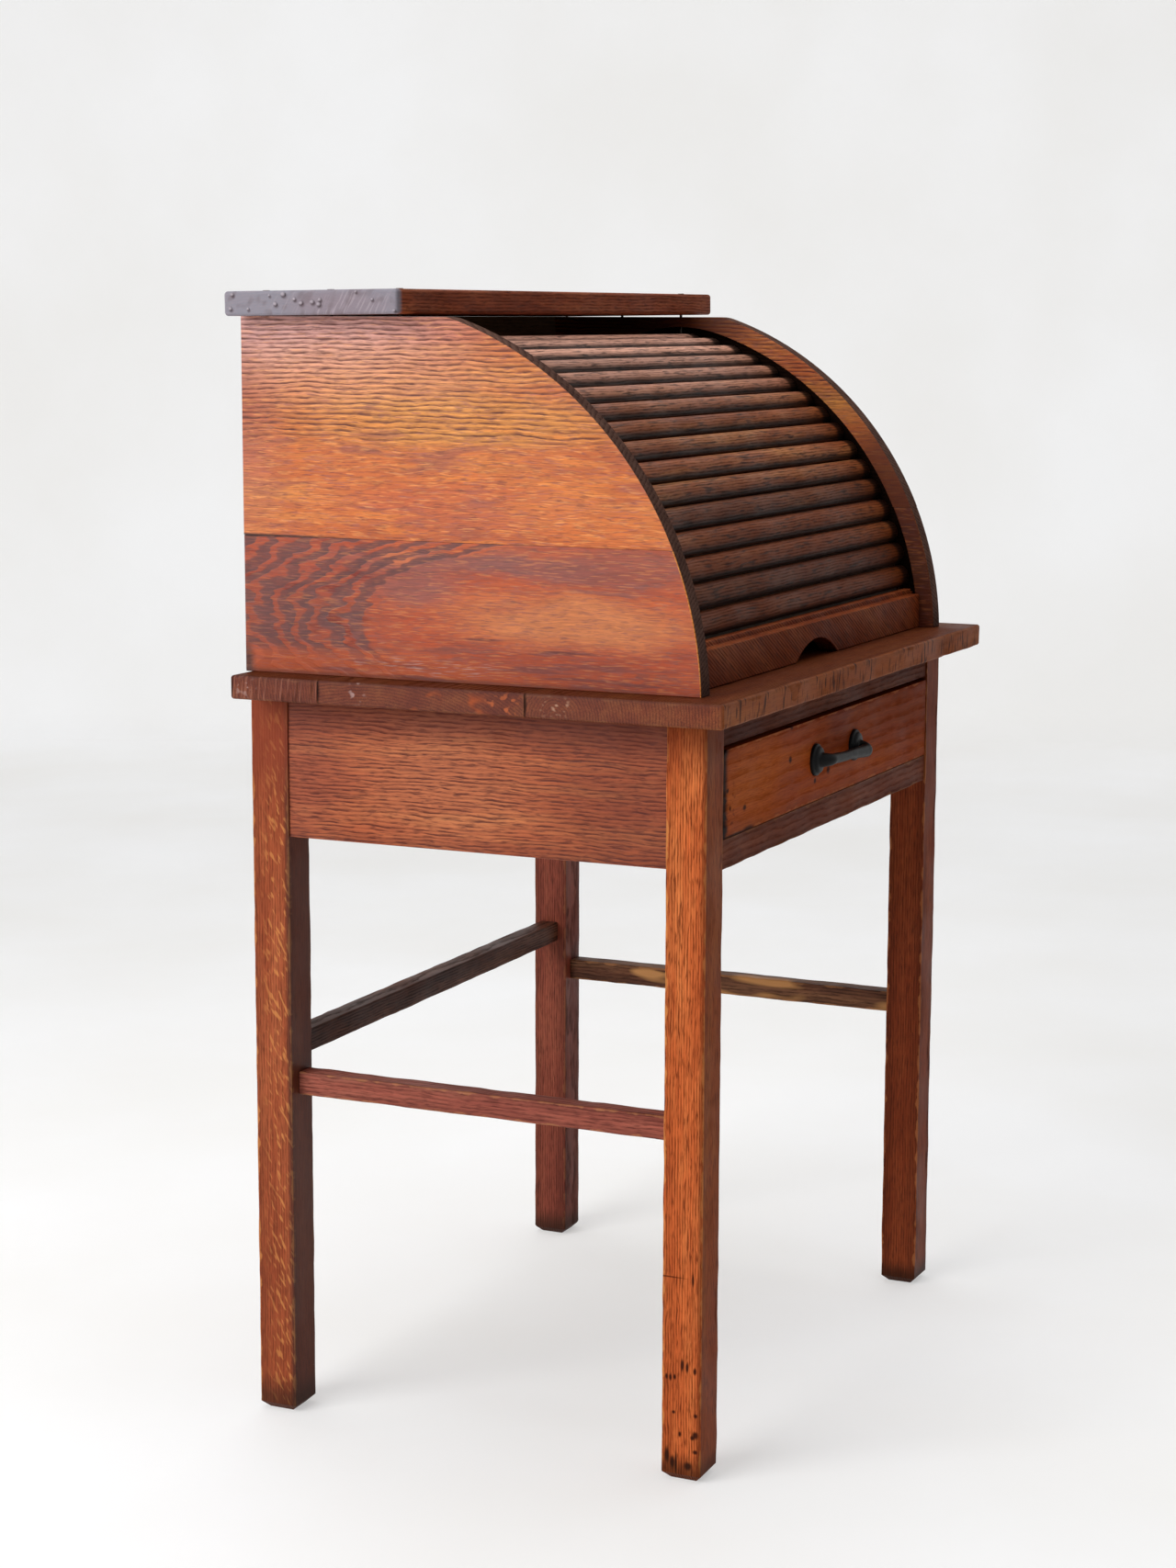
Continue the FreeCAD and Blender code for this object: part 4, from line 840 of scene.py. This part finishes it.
finish_with(oak("left_stretcher_oak", "Y", "#803E34", "#9C5444", "#B26E5A", "#3E1A16", 12, (-0.2, 0, 0.2),
                ring_mm=3.0, box=box_of("side_stretcher_left"), wear=0.3), "side_stretcher_left")
sapwood = ((0.314, 0.0, 0.325), (0.02, 0.5, 0.03), "#C08A54", 0.85, (20, 12, 55))
finish_with(oak("right_stretcher_oak", "Y", "#4A2A1E", "#6A422E", "#8E6244", "#140906", 22, (0.2, 0, 0.2),
                ring_mm=3.0, box=box_of("side_stretcher_right"), wear=0.3, marks=[sapwood]),
            "side_stretcher_right")
finish_with(oak("back_stretcher_oak", "X", *UMBER, 13, (0, 0.2, 0.2), ring_mm=3.0), "back_stretcher")
print("the right stretcher's top is at", round(box_of("side_stretcher_right")[1].z, 3))

# %% [markdown]
# ## The drawer
# The front is a plain board with a quiet figure, darker on the right and dented on the left. Dents could
# be cut into the mesh, but the eye sees the dirt in them more than their depth, so they are drawn. They
# are placed by their share of the front's length and height, so that they would stay on a front of
# another size. The drawer's other boards and the case's back were left plain.

# %% Drawer
# dents: their share of the front's length and height, and their reach each way
DENTS = [(0.477, 0.32, 0.007, 0.006), (0.093, 0.268, 0.006, 0.004), (0.295, 0.617, 0.006, 0.005),
         (0.413, 0.247, 0.005, 0.004), (0.006, 0.10, 0.014, 0.007), (0.111, 0.0, 0.022, 0.005),
         (0.05, 0.0, 0.05, 0.0028), (0.3, 1.0, 0.006, 0.004)]
PLAIN = ("#8E6444", "#A87C58", "#BE946C", "#6A4630")

low, high = box_of("drawer_front")
size = high - low
dents = [((low.x + size.x * along, low.y, low.z + size.z * up), (wide, 0.01, tall), "#200D08", 0.9)
         for along, up, wide, tall in DENTS]
chipped = [((low.x, low.y, 0.65), (0.016, 0.05, 0.2), "#120705", 0.95),
           ((low.x, low.y, high.z), (0.022, 0.05, 0.010), "#120705", 0.9),
           ((low.x, low.y, 0.64), (0.045, 0.05, 0.05), "#1A0A06", 0.95, (90, 50, 150))]
finish_with(oak("drawer_oak", "X", "#8C3814", "#A04618", "#B45C24", "#521E0C", 10, (0, 0.2, 0.3), ring_mm=9,
                figure=0.25, pores=0.25, waver=0.006, level=0.02, box=(low, high), grime=0.3, wear=0.4,
                worn="#B87044", stains_and_shading=[((high.x, low.y, high.z), (0.5, 1, 0.10), "#702A0C", 0.75),
                                        ((0.02, low.y, 0.69), (0.05, 1, 0.03), "#6E2A16", 0.6),
                                        ((low.x + 0.08, low.y, 0.66), (0.12, 1, 0.08), "#BC6028", 0.5)],
                marks=dents + chipped), "drawer_front")
finish_with(oak("top_rail_oak", "X", "#3A1A10", "#4E2416", "#64341F", "#1E0C07", 11, (0, 0.2, 0.3),
                figure=0.3, pores=0.3, level=0.02), "front_top_rail")
finish_with(oak("drawer_rail_oak", "X", "#5E2A1A", "#723A25", "#864A30", "#2C140C", 21, (0, 0.2, 0.3),
                figure=0.35, pores=0.3, level=0.03, box=box_of("drawer_rail"), worn="#9A6238", wear=0.3),
            "drawer_rail")
finish_with(oak("plain_wood", "X", *PLAIN, 15, (0, 0, 0), figure=0.3, pores=0.3, rough=0.6),
            "case_back_lower_board", "case_back_upper_board", "drawer_back", "drawer_bottom")
finish_with(oak("plain_wood_long", "Y", *PLAIN, 16, (0, 0, 0), figure=0.3, pores=0.3, rough=0.6),
            "drawer_side_left", "drawer_side_right", "drawer_runner_left", "drawer_runner_right")
print("drawer front:", len(dents), "dents,", round(size.x, 3), "by", round(size.z, 3))

# %% [markdown]
# ## The roll
# The slats and the lift rail are the darkest wood, and the joints between the slats are dark with dirt
# and painted shade, most on each slat's lower flank. Each slat could have its own material, but the
# joints lie at equal steps round the roll's curve, so one finish that measures a point's angle round the
# curve's centre does for all of them. The upper slats carry a painted sheen and the lower ones painted
# shade, and their ends are painted dark as the groove's shadow.

# %% Slats and lift rail
SLATS, SLAT_END = 17, 0.326   # how many, and how far out from the desk's middle their ends are painted dark, as the groove's shadow
finish_with(oak("slat_oak", "X", "#5A2A16", "#7C4324", "#A06A40", "#1E0E08", 30, (0, -0.3, 0.5), ring_mm=3.0,
                figure=0.6, pores=0.8, coarse=2.2, level=0.06, rough=0.45, joints=True,
                # painted light: the upper slats lighter, as the window's sheen, and the lower ones darker, as
                # shade
                stains_and_shading=[((0, 0.1, 1.07), (1, 0.24, 0.16), "#D09C86", 0.85),
                        ((0, -0.2, 0.80), (1, 0.2, 0.16), "#5A2609", 0.85)],
                # painted shadow: the slats' ends dark where they run into the groove
                marks=[((end, 0, 0.9), (0.016, 2, 2), JOINT_DIRT_AND_SHADE, 0.9) for end in (-SLAT_END, SLAT_END)]),
            *["slat_%02d" % number for number in range(1, SLATS + 1)])
finish_with(oak("lift_rail_oak", "X", "#6A2C14", "#863E1E", "#A0562E", "#2C1108", 14, (-0.2, -0.2, 0.42),
                ring_mm=3.4, slant=29, whole=0.5, waver=0.003, coarse=1.6, level=0.03), "lift_rail")
print("oak finishes:", len([m for m in bpy.data.materials if "oak" in m.name]))

# %% [markdown]
# ## Iron and steel
# The pull is a black casting, with the grain of the sand it was cast in, and the nails and screws are
# dull wire steel with a little rust. A plain black would look like plastic, so noise at two sizes
# changes the tone and the gloss.

# %% Metal
# Blackened cast iron: nearly black and dull, with a sandy grain and slightly shinier worn spots.
iron, tree, shader = new_material("black_cast_iron")
place = node(tree, "TexCoord").outputs["Object"]
sand = node(tree, "TexNoise", {"Vector": place, "Scale": 700, "Detail": 3})   # grains of 1.4 mm
worn = node(tree, "TexNoise", {"Vector": place, "Scale": 90, "Detail": 4})    # worn spots of 11 mm
tone = node(tree, "ValToRGB", {"Fac": worn.outputs["Fac"]}, [(0.35, "#070707"), (0.7, "#10100E")])
tree.links.new(tone.outputs["Color"], shader.inputs["Base Color"])
gloss = node(tree, "MapRange", {"Value": worn.outputs["Fac"], "To Min": 0.35, "To Max": 0.55})
shader.inputs["Specular IOR Level"].default_value = 0.12
tree.links.new(gloss.outputs[0], shader.inputs["Roughness"])
bump = node(tree, "Bump", {"Height": sand.outputs["Fac"], "Strength": 0.4, "Distance": 0.0003})
tree.links.new(bump.outputs[0], shader.inputs["Normal"])
finish_with(iron, "drawer_pull")

# Drawn steel wire: grey and half bright, with specks of brown rust.
steel, tree, shader = new_material("dull_wire_steel")
place = node(tree, "TexCoord").outputs["Object"]
rust = node(tree, "TexNoise", {"Vector": place, "Scale": 400, "Detail": 3})   # specks of 2.5 mm
tone = node(tree, "ValToRGB", {"Fac": rust.outputs["Fac"]}, [(0.4, "#4A4744"), (0.7, "#5E4636")])
tree.links.new(tone.outputs["Color"], shader.inputs["Base Color"])
shader.inputs["Metallic"].default_value = 0.8
shader.inputs["Roughness"].default_value = 0.5
finish_with(steel, "top_nails", "pull_screws")
print("metals:", iron.name, steel.name)

# %% [markdown]
# ## The drawer's pull
# A cast handle has no corners: the bar swells into its feet. It could be one box with many bevels.
# Here a curve with a radius at each point gives the bar, two bevelled ovals give each foot, and
# a remesh makes one skin of them, with fillets. What stands behind the drawer's face is cut away.

# %% Pull's bar
ROUND_UNIT = 0.001           # a radius of 1 on the bar's curve
BAR_BACK = 0.0064            # the bar's middle line lies this far behind the pull's front
FEET_IN = (0.0135, 0.0045)   # the left and the right foot's middle, in from the CAD pull's ends

low, high = box_of("drawer_pull")
middle, proud = (low.z + high.z) / 2, high.y - low.y - BAR_BACK
LEFT_FOOT, RIGHT_FOOT = low.x + FEET_IN[0], high.x - FEET_IN[1]
# points along the bar: across, out from the drawer, down, radius, and the handle's reach across and out
BAR = [(LEFT_FOOT, 0.002, 0.0, 8.6, 0.0, 0.005), (LEFT_FOOT + 0.011, proud, 0.0, 5.6, 0.007, 0.0),
       (0.004, proud + 0.0005, 0.002, 5.0, 0.016, 0.0), (RIGHT_FOOT - 0.006, proud, 0.0045, 6.9, 0.009, 0.0),
       (RIGHT_FOOT, 0.002, 0.002, 8.6, 0.0, -0.006)]

deselect()
bpy.ops.curve.primitive_bezier_curve_add()
bar = bpy.context.object
bar.data.bevel_depth = ROUND_UNIT
bar.data.bevel_resolution = 6
bar.data.resolution_u = 16
bar.data.use_fill_caps = True
points = bar.data.splines[0].bezier_points
points.add(len(BAR) - len(points))
for point, (across, out, down, size, reach, outward) in zip(points, BAR):
    point.handle_left_type = point.handle_right_type = "FREE"
    point.co = (across, high.y - out, middle - down)
    point.handle_left = point.co - Vector((reach, -outward, 0))
    point.handle_right = point.co + Vector((reach, -outward, 0))
    point.radius = size
bpy.ops.object.convert(target="MESH")
print("bar:", len(bar.data.polygons), "faces")

# %% Pull's feet and skin
# each foot is a rim and, on it, a dome: half its width, half its height, how proud, and how round
FOOT_PARTS = [(0.0150, 0.0164, 0.0036, 0.0014), (0.0126, 0.0138, 0.0072, 0.0034)]
SKIN, SMOOTHED = 0.0007, math.radians(50)   # the remesh's cubes, and what the skin's shading smooths over

feet = []
facing = Matrix.Rotation(math.pi / 2, 4, "X")   # turns a foot's ovals to face out of the drawer
for foot in (LEFT_FOOT, RIGHT_FOOT):
    for wide, tall, deep, turned in FOOT_PARTS:
        bpy.ops.mesh.primitive_cylinder_add(vertices=32, radius=1, depth=2, location=(0, 0, 0))
        plate = bpy.context.object
        bpy.ops.object.mode_set(mode="EDIT")
        bpy.ops.transform.resize(value=(wide, tall, deep))
        bpy.ops.mesh.select_all(action="SELECT")
        bpy.ops.mesh.bevel(offset=turned, segments=4)
        bpy.ops.object.mode_set(mode="OBJECT")
        plate.data.transform(Matrix.Translation((foot, high.y, middle)) @ facing)
        feet.append(plate)
deselect()
for piece in (bar, *feet):
    piece.select_set(True)
bpy.context.view_layer.objects.active = bar
bpy.ops.object.join()
bar.name = "cast_pull"
add_modifier(bar, "REMESH", mode="VOXEL", voxel_size=SKIN)
add_modifier(bar, "SMOOTH", factor=0.5, iterations=10)
bpy.ops.object.mode_set(mode="EDIT")
bpy.ops.mesh.select_all(action="SELECT")
bpy.ops.mesh.bisect(plane_co=(0, high.y, 0), plane_no=(0, 1, 0), clear_outer=True, use_fill=True)
bpy.ops.object.mode_set(mode="OBJECT")
bpy.ops.object.shade_smooth_by_angle(angle=SMOOTHED)
bar.data.materials.clear()
bar.data.materials.append(iron)
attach(bar, BODY_OF["drawer_pull"])
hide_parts("drawer_pull")
print("pull:", len(bar.data.polygons), "faces", [round(v, 4) for v in bar.dimensions])

# %% [markdown]
# ## The canvas behind the slats
# A sheet of canvas, glued behind the slats, makes a roll of them. One bent sheet could not follow the
# slats round the groove's two bends, so each slat carries its own strip, nearly as long as one step of
# the roll, and a short strip joins the first slat to the lift rail.

# %% Cotton duck
# Cotton duck: a heavy plain weave, browned with dust. Its threads are drawn 1.6 mm apart, so that they show.
THREAD_MM = 1.6
duck, tree, shader = new_material("cotton_duck")
place = node(tree, "TexCoord").outputs["Object"]
warp = node(tree, "TexWave", {"Vector": place, "Scale": WAVE / THREAD_MM}, bands_direction="X")
dust = node(tree, "TexNoise", {"Vector": place, "Scale": 30, "Detail": 4})
tone = node(tree, "ValToRGB", {"Fac": dust.outputs["Fac"]}, [(0.35, "#3A2E24"), (0.65, "#5A4A3A")])
tree.links.new(tone.outputs["Color"], shader.inputs["Base Color"])
shader.inputs["Roughness"].default_value = 0.9
bump = node(tree, "Bump", {"Height": warp.outputs["Fac"], "Strength": 0.4, "Distance": 0.0003})
tree.links.new(bump.outputs[0], shader.inputs["Normal"])
print("canvas threads:", THREAD_MM, "mm apart")

# %% Canvas strips
CANVAS, SHORT = 0.640, 0.017             # the canvas's width, and the first strip's length
BEHIND, APART = 0.0008, 0.0004           # the strips lie behind the slats, a hair apart
TURN, BEND = 0.140, math.radians(72)     # the tighter curve behind the top, and the angle where it starts
TURN_CENTER = (ROLL_CENTER[0] - (ROLL - TURN) * math.cos(BEND),
               ROLL_CENTER[1] + (ROLL - TURN) * math.sin(BEND))

for number in range(SLATS + 1):
    along = FROM + STEP * (number - 0.5) if number else FROM - SHORT / 2
    length = STEP - APART if number else SHORT
    angle = along / ROLL if along < ROLL * BEND else BEND + (along - ROLL * BEND) / TURN
    center, radius = (ROLL_CENTER, ROLL) if along < ROLL * BEND else (TURN_CENTER, TURN)
    out = Vector((0, -math.cos(angle), math.sin(angle)))
    spot = Vector((0, center[0], center[1])) + out * (radius - BEHIND)
    deselect()
    bpy.ops.mesh.primitive_grid_add(x_subdivisions=20, y_subdivisions=2, size=1)
    strip = bpy.context.object
    strip.name = "canvas_%02d" % number
    bpy.ops.object.mode_set(mode="EDIT")
    bpy.ops.transform.resize(value=(CANVAS, length, 1))
    bpy.ops.object.mode_set(mode="OBJECT")
    strip.data.transform(Matrix.Translation(spot) @ Matrix.Rotation(math.pi / 2 - angle, 4, "X"))
    body = "slat_%02d" % number if number else "lift_rail"
    strip.data.materials.append(duck)
    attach(strip, body)
    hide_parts("tambour_canvas")
